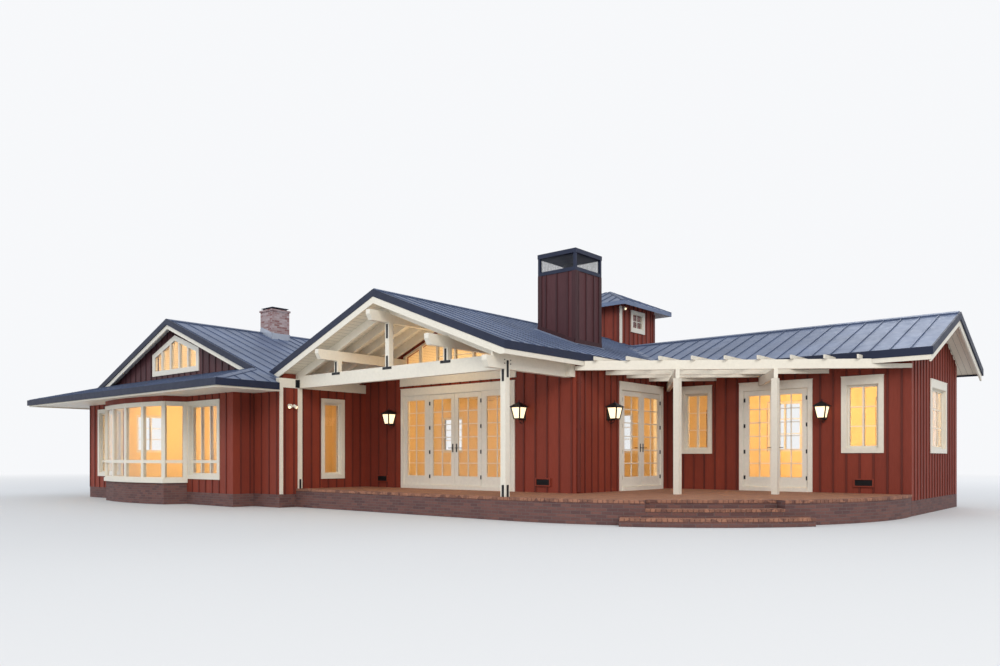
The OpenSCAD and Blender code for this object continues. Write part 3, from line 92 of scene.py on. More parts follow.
def calc(tree, operation, *values):
    node = addNode(tree, "Math", operation=operation)
    for socket, value in enumerate(values):
        if isinstance(value, (int, float)):
            node.inputs[socket].default_value = value
        else:
            wire(tree, value, node, socket)
    return node.outputs[0]


# mixes two colours, or two numbers
def mix(tree, factor, a, b, numbers=False):
    node = addNode(tree, "Mix", data_type="FLOAT" if numbers else "RGBA")
    first = 2 if numbers else 6
    for socket, value in ((0, factor), (first, a), (first + 1, b)):
        if isinstance(value, tuple):
            node.inputs[socket].default_value = (*value, 1)
        else:
            wire(tree, value, node, socket)
    return node.outputs[0 if numbers else 2]


# the second colour shows where a pattern is strong, up to a share of it
def stained(tree, pattern, share, base, second):
    return mix(tree, calc(tree, "MULTIPLY", pattern, share), base, second)


def scaled(color, factor):
    return tuple(c * factor for c in color)


def ramp(tree, factor, stops):
    node = addNode(tree, "ValToRGB")
    while len(node.color_ramp.elements) < len(stops):
        node.color_ramp.elements.new(0.5)
    for element, (place, color) in zip(node.color_ramp.elements, stops):
        element.position = place
        element.color = (*color, 1)
    wire(tree, factor, node, "Fac")
    return node.outputs["Color"]


def noise(tree, scale, detail, stretch=(1, 1, 1)):
    mapping = addNode(tree, "Mapping", {"Scale": stretch})
    wire(tree, objectPlace(tree), mapping, "Vector")
    node = addNode(tree, "TexNoise", {"Scale": scale, "Detail": detail, "Roughness": 0.6})
    wire(tree, mapping.outputs[0], node, "Vector")
    return node.outputs["Fac"]


def bump(tree, shader, height, distance, strength=0.6):
    node = addNode(tree, "Bump", {"Strength": strength, "Distance": distance})
    wire(tree, height, node, "Height")
    wire(tree, node.outputs[0], shader, "Normal")


# roughness between two values, after a pattern
def roughAfter(tree, shader, pattern, low, high):
    rough = ramp(tree, pattern, [(0.2, (low, low, low)), (0.8, (high, high, high))])
    wire(tree, rough, shader, "Roughness")


# how far a point lies along its wall, its place, and whether its face is level
def wallCoordinates(tree):
    spot = addNode(tree, "TexCoord")
    place = addNode(tree, "SeparateXYZ")
    facing = addNode(tree, "SeparateXYZ")
    wire(tree, spot.outputs["Object"], place, 0)
    wire(tree, spot.outputs["Normal"], facing, 0)
    facesX, flat = (calc(tree, "GREATER_THAN", calc(tree, "ABSOLUTE", facing.outputs[axis]), 0.6)
                    for axis in ("X", "Z"))
    along = mix(tree, facesX, place.outputs["X"], place.outputs["Y"], True)
    return along, place, flat


# boards and battens in metres; the chase has a start of its own along x and along y
boardSet = {"pitch": 0.36, "wingPitch": 0.305, "sidePitch": 0.288, "batten": 0.038, "thick": 0.022,
            "start": 0.09, "chaseStart": {0: 0.17, 1: 0.31}}


def sidingMaterial(name, color, dark, pitch=boardSet["pitch"], start=boardSet["start"]):
    material, tree, shader = newMaterial(name, 0.62)
    shader.inputs["Specular IOR Level"].default_value = 0.3
    along, place, flat = wallCoordinates(tree)
    board = calc(tree, "FLOOR", calc(tree, "DIVIDE", calc(tree, "SUBTRACT", along, start), pitch))
    toss = addNode(tree, "TexWhiteNoise", noise_dimensions="1D")
    wire(tree, board, toss, "W")
    base = ramp(tree, toss.outputs["Value"], [(0, dark), (0.5, color), (1, scaled(color, 1.16))])
    grain = noise(tree, 9, 6, (5, 5, 0.35))
    blotch = noise(tree, 1.3, 3)
    worn = stained(tree, grain, 0.5, base, scaled(dark, 0.45))
    lit = stained(tree, blotch, 0.35, worn, scaled(color, 1.35))
    wire(tree, lit, shader, "Base Color")
    roughAfter(tree, shader, grain, 0.5, 0.75)
    bump(tree, shader, grain, 0.004, 0.5)
    return material


def paintMaterial(name, color, roughness=0.42):
    material, tree, shader = newMaterial(name, roughness)
    brush = noise(tree, 14, 5)
    stain = noise(tree, 0.9, 3)
    base = ramp(tree, brush, [(0.25, scaled(color, 0.9)), (0.75, color)])
    yellowed = tuple(c * k for c, k in zip(color, (0.82, 0.78, 0.66)))
    aged = stained(tree, stain, 0.22, base, yellowed)
    wire(tree, aged, shader, "Base Color")
    bump(tree, shader, brush, 0.0015, 0.4)
    return material


def metalMaterial(name, color, metallic=0.35, shine=0.5):
    material, tree, shader = newMaterial(name, 0.5, metallic)
    shader.inputs["Specular IOR Level"].default_value = shine
    cloud = noise(tree, 0.8, 4)
    streak = noise(tree, 5, 5)
    base = ramp(tree, cloud, [(0.3, scaled(color, 0.82)), (0.7, scaled(color, 1.18))])
    wire(tree, stained(tree, streak, 0.3, base, scaled(color, 0.7)), shader, "Base Color")
    roughAfter(tree, shader, streak, 0.4, 0.6)
    bump(tree, shader, streak, 0.002, 0.3)
    return material


# a brick with its joint: length, height and width of the joint
brickSet = {"long": 0.204, "tall": 0.067, "joint": 0.006}


# walls are laid along their length and height, level faces along x and y
def brickMaterial(name, tones, mortar):
    material, tree, shader = newMaterial(name, 0.82)
    along, place, flat = wallCoordinates(tree)
    joined = addNode(tree, "CombineXYZ")
    wire(tree, mix(tree, flat, along, place.outputs["X"], True), joined, "X")
    wire(tree, mix(tree, flat, place.outputs["Z"], place.outputs["Y"], True), joined, "Y")
    bricks = addNode(tree, "TexBrick", {
        "Color1": (*tones[0], 1), "Color2": (*tones[1], 1), "Mortar": (*mortar, 1),
        "Scale": 1.0, "Mortar Size": brickSet["joint"], "Mortar Smooth": 0.15, "Bias": 0.0,
        "Brick Width": brickSet["long"], "Row Height": brickSet["tall"]})
    wire(tree, joined.outputs[0], bricks, "Vector")
    speck = noise(tree, 38, 5)
    patch = noise(tree, 2.2, 3)
    rough = stained(tree, speck, 0.45, bricks.outputs["Color"], scaled(tones[0], 0.4))
    wire(tree, stained(tree, patch, 0.4, rough, tones[2]), shader, "Base Color")
    joints = calc(tree, "MULTIPLY", bricks.outputs["Fac"], -1.0)
    height = calc(tree, "ADD", joints, calc(tree, "MULTIPLY", speck, 0.35))
    bump(tree, shader, height, 0.008, 0.7)
    return material


# single bricks of their own geometry, whose tone changes from brick to brick
def looseBrickMaterial(name, color, dark):
    material, tree, shader = newMaterial(name, 0.85)
    toss = addNode(tree, "TexVoronoi", {"Scale": 7.0})
    wire(tree, objectPlace(tree), toss, "Vector")
    split = addNode(tree, "SeparateXYZ")
    wire(tree, toss.outputs["Color"], split, 0)
    speck = noise(tree, 40, 5)
    base = ramp(tree, split.outputs["X"], [(0, dark), (0.6, color), (1, scaled(color, 1.3))])
    wire(tree, stained(tree, speck, 0.5, base, scaled(dark, 0.5)), shader, "Base Color")
    bump(tree, shader, speck, 0.004)
    return material


# painted boards with a groove between them, each pitch wide; the groove's darker colour is painted shade
def boardingMaterial(name, color, pitch):
    material, tree, shader = newMaterial(name, 0.5)
    place = addNode(tree, "SeparateXYZ")
    wire(tree, objectPlace(tree), place, 0)
    share = calc(tree, "FRACT", calc(tree, "DIVIDE", place.outputs["X"], pitch))
    aside = calc(tree, "ABSOLUTE", calc(tree, "SUBTRACT", share, 0.5))
    groove = calc(tree, "LESS_THAN", aside, 0.035)
    grain = noise(tree, 10, 5, (4, 0.4, 4))
    base = ramp(tree, grain, [(0.25, scaled(color, 0.88)), (0.75, color)])
    # the groove is the board's colour darkened as painted shade
    wire(tree, mix(tree, groove, base, scaled(color, 0.45)), shader, "Base Color")
    height = calc(tree, "SUBTRACT", calc(tree, "MULTIPLY", grain, 0.2), groove)
    bump(tree, shader, height, 0.006, 0.5)
    return material


def glassMaterial(name, tint):
    material, tree, shader = newMaterial(name, 0.04)
    shader.inputs["Base Color"].default_value = (*tint, 1)
    shader.inputs["Transmission Weight"].default_value = 1
    shader.inputs["IOR"].default_value = 1.2
    shader.inputs["Coat Weight"].default_value = 0.25
    return material


def glowMaterial(name, color, strength):
    material, tree, shader = newMaterial(name, 0.4)
    tone = ramp(tree, noise(tree, 30, 3), [(0.2, scaled(color, 0.85)), (0.8, color)])
    wire(tree, tone, shader, "Base Color")
    wire(tree, tone, shader, "Emission Color")
    shader.inputs["Emission Strength"].default_value = strength
    return material


def floorMaterial():
    material, tree, shader = newMaterial("oiledFloor", 0.45)
    planks = addNode(tree, "TexBrick", {
        "Color1": (0.40, 0.21, 0.10, 1), "Color2": (0.30, 0.15, 0.07, 1),
        "Mortar": (0.06, 0.03, 0.02, 1), "Scale": 1.0, "Mortar Size": 0.002,
        "Brick Width": 1.8, "Row Height": 0.13})
    wire(tree, objectPlace(tree), planks, "Vector")
    grain = noise(tree, 20, 5, (0.25, 3, 1))
    tone = stained(tree, grain, 0.4, planks.outputs["Color"], (0.15, 0.07, 0.03))
    wire(tree, tone, shader, "Base Color")
    bump(tree, shader, grain, 0.001, 0.3)
    return material


# colours are linear red, green and blue; boards have two tones and bricks three
barnRed, barnShade = (0.232, 0.038, 0.019), (0.185, 0.030, 0.017)
# the dark red and its second tone are the barn red in painted shade, a shaded copy for the chase and the left
# wing's gable
shadedBarnRed, shadedBarnTone = (0.085, 0.027, 0.030), (0.062, 0.020, 0.024)
materials = {
    "siding": sidingMaterial("redBoards", barnRed, barnShade),
    "wing_siding": sidingMaterial("wingBoards", barnRed, barnShade, boardSet["wingPitch"]),
    # battens are the boards' own stain, darkened as painted shade for the shadow lines beside them
    "batten": sidingMaterial("shadowDarkenedBattens", (0.135, 0.024, 0.015), (0.095, 0.018, 0.013)),
    "dark_siding": sidingMaterial("shadedBoards", shadedBarnRed, shadedBarnTone),
    "chase_siding": sidingMaterial("chaseSiding", shadedBarnRed, shadedBarnTone, start=boardSet["chaseStart"][0]),
    # the chase's and gable's battens: the shaded copy darkened again as painted shade
    "dark_batten": sidingMaterial("shadowDarkenedDarkBattens", (0.052, 0.017, 0.020), (0.040, 0.013, 0.016)),
    "trim": paintMaterial("creamTrim", (0.80, 0.75, 0.64)),
    "door_paint": paintMaterial("creamDoors", (0.84, 0.80, 0.70)),
    "roof_metal": metalMaterial("seamRoof", (0.135, 0.175, 0.275)),
    # seams and caps are the roof's own metal, coloured darker as painted shade along them
    "seam": metalMaterial("roofSeams", (0.105, 0.138, 0.225)),
    "flashing": metalMaterial("paleFlashing", (0.19, 0.225, 0.31)),
    "pale_flashing": metalMaterial("leadFlashing", (0.36, 0.39, 0.45)),
    "cream_boards": boardingMaterial("creamBoards", (0.82, 0.76, 0.62), 0.14),
    "dark_metal": metalMaterial("darkEdge", (0.018, 0.024, 0.050), 0.0, 0.2),
    "brick": brickMaterial("terraceBrick", (
        (0.19, 0.078, 0.062), (0.075, 0.034, 0.036), (0.17, 0.085, 0.075)), (0.13, 0.105, 0.10)),
    "paving": brickMaterial("pavingBrick", (
        (0.46, 0.190, 0.090), (0.24, 0.095, 0.055), (0.46, 0.22, 0.115)), (0.12, 0.085, 0.07)),
    "header_brick": looseBrickMaterial("headerBrick", (0.33, 0.15, 0.09), (0.15, 0.065, 0.05)),
    "chimney_brick": brickMaterial("chimneyBrick", (
        (0.25, 0.10, 0.09), (0.62, 0.54, 0.54), (0.34, 0.19, 0.18)), (0.50, 0.45, 0.44)),
    "floor_boards": floorMaterial(),
    "glass": glassMaterial("windowGlass", (0.97, 0.98, 0.98)),
    "iron": metalMaterial("blackIron", (0.014, 0.014, 0.016)),
    # the plaster is partly its cream colour and partly painted warm light: its amber stands in for the rooms'
    # lamps
    "plaster": paintMaterial("warmPlaster", (0.86, 0.66, 0.36), 0.85),
    "lamp": glowMaterial("lampGlass", (1.0, 0.80, 0.50), 1.4),
    "mesh": metalMaterial("cageMesh", (0.07, 0.075, 0.09)),
}

# the slot that the record gives a CAD node gives its finish, with a few of the walls apart
# the chase and the left wing's gable take the boards in painted shade
otherBoards = {"chimney_chase": "chase_siding", "left_wing_gable_wall": "dark_siding",
               "right_wing_wall_left": "wing_siding", "right_wing_wall_right": "wing_siding",
               "right_wing_back_wall": "wing_siding"}
for row in frame["record"]["subparts"]:
    mesh = nodes[row["node"]].data
    mesh.materials.clear()
    mesh.materials.append(materials[otherBoards.get(row["node"], row["material_slot"])])
    mesh.update()


# a second finish for the faces of a node whose normals pass the test
def refinish(node, material, test):
    mesh = nodes[node].data
    mesh.materials.append(materials[material])
    for polygon in mesh.polygons:
        if test(polygon.normal):
            polygon.material_index = 1


for node in nodes:
    if "roof" in node:
        refinish(node, "cream_boards", lambda normal: normal.z < -0.1)  # boarded below
for node in ("terrace", "terrace_steps"):
    refinish(node, "paving", lambda normal: normal.z > 0.9)
print("materials ready")


# short helpers for shapes
def finishPiece(name, bm, material, body="house"):
    mesh = bpy.data.meshes.new(name)
    bm.to_mesh(mesh)
    bm.free()
    piece = bpy.data.objects.new(name, mesh)
    bpy.context.scene.collection.objects.link(piece)
    mesh.materials.append(materials[material])
    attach(piece, body)
    return piece


# a box between two opposite corners, whichever they are
def addBox(bm, a, b):
    low, high = Vector([min(pair) for pair in zip(a, b)]), Vector([max(pair) for pair in zip(a, b)])
    place = Matrix.Translation((low + high) / 2) @ Matrix.Diagonal((*(high - low), 1))
    return bmesh.ops.create_cube(bm, size=1, matrix=place)["verts"]


# a bar from start to end, with its width across and its height along up
def addBar(bm, start, end, width, height, up=(0, 0, 1)):
    start, end = Vector(start), Vector(end)
    along = (end - start).normalized()
    across = Vector(up).cross(along).normalized()
    turn = Matrix((along, across, along.cross(across))).transposed().to_4x4()
    size = Matrix.Diagonal(((end - start).length, width, height, 1))
    place = Matrix.Translation((start + end) / 2) @ turn @ size
    return bmesh.ops.create_cube(bm, size=1, matrix=place)["verts"]


# a strip that lies on a roof slope, on one side of the line from start to end
def addSlopeStrip(bm, start, end, normal, side, width, height):
    start, end, normal = Vector(start), Vector(end), Vector(normal).normalized()
    across = normal.cross(end - start).normalized()
    if across.dot(Vector(side)) < 0:
        across = -across
    overlap = height * 0.4  # the two strips of a ridge or hip cross by this much
    shift = across * (width / 2 - overlap) + normal * height / 2
    addBar(bm, start + shift, end + shift, width, height, normal)


def addRod(bm, start, end, radius, segments=8):
    start, end = Vector(start), Vector(end)
    turn = (end - start).to_track_quat("Z", "Y").to_matrix().to_4x4()
    place = Matrix.Translation((start + end) / 2) @ turn
    bmesh.ops.create_cone(bm, cap_ends=True, segments=segments, radius1=radius, radius2=radius,
                          depth=(end - start).length, matrix=place)


# a copy of the faces of a node that pass the test, merged into flat outlines
def facesLooking(node, test):
    bm = bmesh.new()
    bm.from_mesh(nodes[node].data)
    bmesh.ops.remove_doubles(bm, verts=bm.verts, dist=1e-4)
    bm.normal_update()
    bmesh.ops.delete(bm, geom=[f for f in bm.faces if not test(f)], context="FACES")
    bmesh.ops.dissolve_limit(bm, angle_limit=0.01, verts=bm.verts, edges=bm.edges)
    return bm


# cuts a flat patch into strips of one width at one pitch and deletes the rest
def keepStrips(bm, axis, pitch, width, start=0.0):
    if not bm.verts:
        return
    spread = [v.co[axis] for v in bm.verts]
    first = math.floor((min(spread) - start) / pitch) - 1
    last = math.ceil((max(spread) - start) / pitch) + 1
    normal = Vector([1.0 if k == axis else 0.0 for k in range(3)])
    for i in range(first, last + 1):
        for edge in (-width / 2, width / 2):
            point = normal * (start + i * pitch + edge)
            everything = bm.verts[:] + bm.edges[:] + bm.faces[:]
            bmesh.ops.bisect_plane(bm, geom=everything, plane_co=point, plane_no=normal, dist=1e-5)
    between = []
    for face in bm.faces:
        u = (face.calc_center_median()[axis] - start) / pitch
        if abs(u - round(u)) * pitch > width / 2:
            between.append(face)
    bmesh.ops.delete(bm, geom=between, context="FACES")


def turnOut(bm):
    bmesh.ops.recalc_face_normals(bm, faces=bm.faces)


# moves a copy of the faces by shift, with walls between the two, and returns the moved ones
def extrudeFaces(bm, faces, shift):
    grown = bmesh.ops.extrude_face_region(bm, geom=faces, use_keep_orig=True)["geom"]
    moved = [g for g in grown if isinstance(g, bmesh.types.BMVert)]
    bmesh.ops.translate(bm, verts=moved, vec=shift)
    return [g for g in grown if isinstance(g, bmesh.types.BMFace)]


# turns flat strips into closed bars of the given height
def raiseFaces(bm, shift):
    if bm.faces:
        extrudeFaces(bm, bm.faces[:], shift)
        turnOut(bm)


def joinInto(target, bm):
    mesh = bpy.data.meshes.new("part")
    bm.to_mesh(mesh)
    bm.free()
    target.from_mesh(mesh)
    bpy.data.meshes.remove(mesh)


# battens on the boarded walls. Each row gives a node and its boarded side, measured at its outermost
# face, or at a second node's, or some metres further out
outerFaces = {
    "frontBattens": [
        ("left_wing_front_wall", "-y", "left_wing_side_wall", 0.2),
        ("link_wall", "-y", "porch_left_wall", 0.2),
        ("porch_wall_left", "-y"), ("porch_wall_right", "-y"), ("porch_gable_wall", "-y"),
        ("door_header_walls", "-y", "right_wing_wall_left"), ("right_wing_wall_left", "-y"),
        ("right_wing_wall_right", "-y")],
    "rightBattens": [
        ("left_wing_front_wall", "+x"), ("link_wall", "+x"), ("link_wall", "+x", "left_wing_front_wall"),
        ("porch_left_wall", "+x"), ("side_wall_front", "+x"), ("side_wall_back", "+x"),
        ("door_header_walls", "+x", "side_wall_front"), ("right_wing_end_wall", "+x"),
        ("pavilion_right_wall", "+x")],
    "backBattens": [
        ("left_wing_back_wall", "+y"), ("right_wing_back_wall", "+y"), ("pavilion_back_wall", "+y")],
    "leftBattens": [("left_wing_side_wall", "-x"), ("pavilion_left_wall", "-x")],
    "towerBattens": [("tower_walls", side) for side in sides],
    "shadowDarkenedDarkBattens": [("left_wing_gable_wall", "-y")] + [("chimney_chase", side) for side in sides],
}
for pieceName, walls in outerFaces.items():
    together = bmesh.new()
    for node, side, *level in walls:
        way = sides[side]
        measured = nodes[level[0] if level else node].data
        reach = max(v.co.dot(way) for v in measured.vertices) + sum(level[1:])
        patch = facesLooking(node, lambda f: f.normal.dot(way) > 0.99 and (
            abs(f.calc_center_median().dot(way) - reach) < 0.012))
        axis = 1 if way.x else 0
        pitch, start = boardSet["pitch"], boardSet["start"]
        if node == "chimney_chase":
            start = boardSet["chaseStart"][axis]
        elif way.x:
            pitch = boardSet["sidePitch"]
        elif "right_wing" in node or "right_wing" in str(level):
            pitch = boardSet["wingPitch"]
        keepStrips(patch, axis, pitch, boardSet["batten"], start)
        raiseFaces(patch, way * boardSet["thick"])
        joinInto(together, patch)
    # the battens take the darker batten colours, painted shade for the shadow lines beside them
    finishPiece(pieceName, together, "dark_batten" if pieceName == "shadowDarkenedDarkBattens" else "batten")
print("battens done")

# standing seams of the metal roofs, none above the tower's peak, coloured darker than the roof as painted shade
seamSet = {"pitch": 0.43, "width": 0.022, "height": 0.026, "start": 0.12}
seams = bmesh.new()
for node in [name for name in nodes if "roof" in name]:
    for axis in (0, 1):
        patch = facesLooking(node, lambda f: f.normal.z > 0.5 and abs(f.normal[1 - axis]) > 0.2)
        keepStrips(patch, axis, seamSet["pitch"], seamSet["width"], seamSet["start"])
        raiseFaces(patch, (0, 0, seamSet["height"]))
        joinInto(seams, patch)
tooHigh = [v for v in seams.verts if v.co.z > cadBox[1][2] - 0.001]
bmesh.ops.delete(seams, geom=tooHigh, context="VERTS")
finishPiece("roofSeams", seams, "seam")
print("seams done")

# the three ridges: start, end, the way across them and their roofs' rise over run
ridges = {"main": ((2.405, -6.545, 5.3668), (2.405, 8.735, 5.3668), (1, 0, 0), 0.39),
          "right": ((3.56, 3.175, 4.930), (13.005, 3.175, 4.930), (0, 1, 0), 0.39),
          "left": ((-6.965, -6.895, 5.6469), (-6.965, 3.435, 5.6469), (1, 0, 0), 0.386)}
(ridgeX, _, ridgeZ), _, _, mainSlope = ridges["main"]
(leftRidgeX, _, leftRidgeZ), _, _, leftSlope = ridges["left"]
rightRidgeY = ridges["right"][0][1]


# height of the pavilion's roof at x, and of the left wing's right slope
def roofHeight(x):
    return ridgeZ - abs(x - ridgeX) * mainSlope


def leftRoofHeight(x):
    return leftRidgeZ - (x - leftRidgeX) * leftSlope


# folded caps along the ridges and hips, in the seams' darker colour, painted shade
capSet = {"ridge": (0.15, 0.036), "hip": (0.13, 0.0216), "tower": (0.07, 0.022)}  # width, height
caps = bmesh.new()
for start, end, across, slope in ridges.values():
    for way in (Vector(across), -Vector(across)):
        addSlopeStrip(caps, start, end, way * slope + Vector((0, 0, 1)), way, *capSet["ridge"])

# hips of the left wing's skirt roof, given by how far out from the ridge line; cut off at the eaves
hipSet = {"foot": (6.08, -8.775, 3.300), "head": (4.85, -6.95, 3.774), "slope": 0.26,
          "eaves": (("-x", 6.04), ("+x", 6.04), ("-y", 8.735))}
hips = bmesh.new()
for sign in (1, -1):
    ends = [(leftRidgeX + sign * out, y, z) for out, y, z in (hipSet["foot"], hipSet["head"])]
    for normal, side in (((sign * leftSlope, 0, 1), (0, 1, 0)), ((0, -hipSet["slope"], 1), (-sign, 0, 0))):
        addSlopeStrip(hips, *ends, normal, side, *capSet["hip"])
for side, reach in hipSet["eaves"]:
    eave = Vector((leftRidgeX, 0, 0)) + sides[side] * reach
    everything = hips.verts[:] + hips.edges[:] + hips.faces[:]
    cut = bmesh.ops.bisect_plane(hips, geom=everything, plane_co=eave, plane_no=sides[side], clear_outer=True)
    bmesh.ops.holes_fill(hips, edges=[g for g in cut["geom_cut"] if isinstance(g, bmesh.types.BMEdge)])
turnOut(hips)
joinInto(caps, hips)

# the tower's hips, given by how far out from its middle and how high
towerHips = {"middle": Vector((1.715, 4.965, 0)), "foot": (1.58, 6.529), "head": (0.07, 7.212), "slope": 0.456}
for signX in (1, -1):
    for signY in (1, -1):
        ends = [towerHips["middle"] + Vector((signX * out, signY * out, z))
                for out, z in (towerHips["foot"], towerHips["head"])]
        for way in (Vector((signX, 0, 0)), Vector((0, signY, 0))):
            normal = way * towerHips["slope"] + Vector((0, 0, 1))
            addSlopeStrip(caps, *ends, normal, way - Vector((signX, signY, 0)), *capSet["tower"])
finishPiece("ridgeCaps", caps, "seam")

# pale flashing in the valleys: beside the left wing, and in the right wing's two, whose foot and head
# are given by x, how far out from that wing's ridge, and z
valleySet = {"start": (-1.895, -6.5, 3.6898), "end": (-1.895, 3.4, 3.6898),
             "foot": (6.44, 2.915, 3.793), "head": (3.60, 0.075, 4.901), "size": (0.11, 0.006)}
valleys = bmesh.new()
for slope, sign in ((leftSlope, -1), (mainSlope, 1)):
    addSlopeStrip(valleys, valleySet["start"], valleySet["end"], (-sign * slope, 0, 1), (sign, 0, 0),
                  *valleySet["size"])
for turn in (1, -1):
    ends = [(x, rightRidgeY - turn * out, z) for x, out, z in (valleySet["foot"], valleySet["head"])]
    for normal, side in (((mainSlope, 0, 1), (0, -turn, 0)), ((0, -turn * mainSlope, 1), (1, 0, 0))):
        addSlopeStrip(valleys, *ends, normal, side, *valleySet["size"])

# the boarded chimney chase: flashing round its foot, and boards round its foot and on its corners
chase = {"low": (3.898, -1.987), "high": (5.093, -0.793), "top": 6.255}
chaseTrim = {"board": 0.10, "thick": 0.024, "foot": 0.13, "footThick": 0.036, "lap": 0.03,
             "flashing": (0.10, 0.03), "past": (0.1, 0.12)}
(lowX, lowY), (highX, highY) = chase["low"], chase["high"]
slopeUp = (mainSlope, 0, 1)
for y, side in ((lowY, -1), (highY, 1)):
    ends = [(x, y, roofHeight(x)) for x in (lowX - chaseTrim["past"][0], highX + chaseTrim["past"][1])]
    addSlopeStrip(valleys, *ends, slopeUp, (0, side, 0), *chaseTrim["flashing"])
for x, side in ((lowX, -1), (highX, 1)):
    ends = [(x, y, roofHeight(x)) for y in (lowY, highY)]
    addSlopeStrip(valleys, *ends, slopeUp, (side, 0, 0), *chaseTrim["flashing"])
finishPiece("valleyFlashing", valleys, "flashing")

# the chase's boards take the dark battens' colour, painted shade
bm = bmesh.new()
board, thick = chaseTrim["board"], chaseTrim["thick"]
for y in (lowY - thick / 2, highY + thick / 2):
    ends = [(x, y, roofHeight(x) + chaseTrim["foot"] / 2) for x in (lowX, highX)]
    addBar(bm, *ends, chaseTrim["footThick"], chaseTrim["foot"])
for x, outX in ((lowX, -1), (highX, 1)):
    middle, height = x + outX * thick / 2, roofHeight(x) + chaseTrim["foot"] / 2
    ends = [(middle, y, height) for y in (lowY - chaseTrim["lap"], highY + chaseTrim["lap"])]
    addBar(bm, *ends, chaseTrim["footThick"], chaseTrim["foot"])
    foot, top = roofHeight(x) + 0.02, chase["top"] - 0.002
    for y, outY in ((lowY, -1), (highY, 1)):
        addBox(bm, (x - outX * board, y + outY * thick, foot), (x + outX * thick, y, top))
        addBox(bm, (x, y - outY * board, foot), (x + outX * thick, y, top))
finishPiece("chaseBoards", bm, "dark_batten")

# woven wire in the cage on top of the chase
cage = {"inset": 0.035, "low": 6.35, "high": 6.72, "pitch": 0.030, "wire": 0.0035}
bm = bmesh.new()
inset, half = cage["inset"], cage["wire"] / 2
x0, y0, x1, y1 = lowX + inset, lowY + inset, highX - inset, highY - inset
corners = [Vector(corner) for corner in ((x0, y0), (x1, y0), (x1, y1), (x0, y1))]
rows = round((cage["high"] - cage["low"]) / cage["pitch"])
for a, b in zip(corners, corners[1:] + corners[:1]):
    count = round((b - a).length / cage["pitch"])
    for i in range(1, count):
        spot = a.lerp(b, i / count)
        addBox(bm, (spot.x - half, spot.y - half, cage["low"]), (spot.x + half, spot.y + half, cage["high"]))
    for i in range(1, rows):
        z = cage["low"] + (cage["high"] - cage["low"]) * i / rows
        addBar(bm, (*a, z), (*b, z), cage["wire"], cage["wire"])
finishPiece("cageMesh", bm, "mesh")

# round flue in the middle of the cage, open at its top
flueSet = {"radius": 0.17, "wall": 0.012, "foot": 6.245, "tall": 0.365, "deep": 0.25}
bm = bmesh.new()
place = Matrix.Translation(((lowX + highX) / 2, (lowY + highY) / 2, flueSet["foot"]))
ring = bmesh.ops.create_circle(bm, cap_ends=True, segments=24, radius=flueSet["radius"], matrix=place)["verts"]
base = list({f for v in ring for f in v.link_faces})
top = extrudeFaces(bm, base, (0, 0, flueSet["tall"]))
bmesh.ops.inset_region(bm, faces=top, thickness=flueSet["wall"])
bmesh.ops.translate(bm, verts=top[0].verts, vec=(0, 0, -flueSet["deep"]))
turnOut(bm)
finishPiece("flue", bm, "iron")

# corner boards of the tower, with the one beside its window painted, and of the left wing, whose cream is a
# painted highlight of lamp light on a red board
tower = {"low": (0.565, 3.815), "high": (2.865, 6.115), "top": 6.44, "board": 0.11, "thick": 0.024}
leftCorner = ((-1.235, -6.705, 0.36), (-1.211, -6.605, 3.40))
board, thick, top = tower["board"], tower["thick"], tower["top"]
dark, pale = bmesh.new(), bmesh.new()
for x, outX in ((tower["low"][0], -1), (tower["high"][0], 1)):
    foot = roofHeight(x) + 0.01
    for y, outY in ((tower["low"][1], -1), (tower["high"][1], 1)):
        addBox(dark, (x - outX * board, y + outY * thick, foot), (x, y, top))
        addBox(pale if outX > outY else dark, (x, y - outY * board, foot),
               (x + outX * thick, y + outY * thick, top))
# the tower's red corner boards take the battens' colour darkened as painted shade
finishPiece("towerCorners", dark, "batten")
# the left wing's corner board is cream as a painted highlight where lamp light falls on a red board
addBox(pale, *leftCorner)
finishPiece("paleCornerBoards", pale, "trim")

# a frieze closes the link wall against the roof, in the battens' colour darkened as painted shade
bm = bmesh.new()
addBox(bm, (-1.885, -6.525, 3.36), (-1.436, -6.505, 3.60))
finishPiece("linkFrieze", bm, "batten")

# brick chimney: a thin plate on four feet, and flashing round its foot
stack = {"low": (-6.975, -3.555), "high": (-6.285, -2.865), "top": 6.40, "gap": 0.055,
         "plate": 0.022, "inset": 0.02, "feet": 0.04, "feetInset": 0.06, "flashing": (0.012, 0.20)}
(lowX, lowY), (highX, highY) = stack["low"], stack["high"]
inset, feet, lift = stack["inset"], stack["feet"], stack["top"] + stack["gap"]
bm = bmesh.new()
addBox(bm, (lowX + inset, lowY + inset, lift), (highX - inset, highY - inset, lift + stack["plate"]))
for x in (lowX + stack["feetInset"], highX - stack["feetInset"] - feet):
    for y in (lowY + stack["feetInset"], highY - stack["feetInset"] - feet):
        addBox(bm, (x, y, stack["top"] - 0.002), (x + feet, y + feet, lift))
finishPiece("stackCap", bm, "dark_metal")
thick, tall = stack["flashing"]
bm = bmesh.new()
for y in (lowY - 0.004, highY + 0.004):
    ends = [(x, y, leftRoofHeight(x) + tall / 2) for x in (lowX, highX)]
    addBar(bm, *ends, thick, tall)
foot = leftRoofHeight(highX)
addBox(bm, (highX, lowY - 0.01, foot - 0.02), (highX + thick, highY + 0.01, foot + tall))
finishPiece("stackFlashing", bm, "pale_flashing")

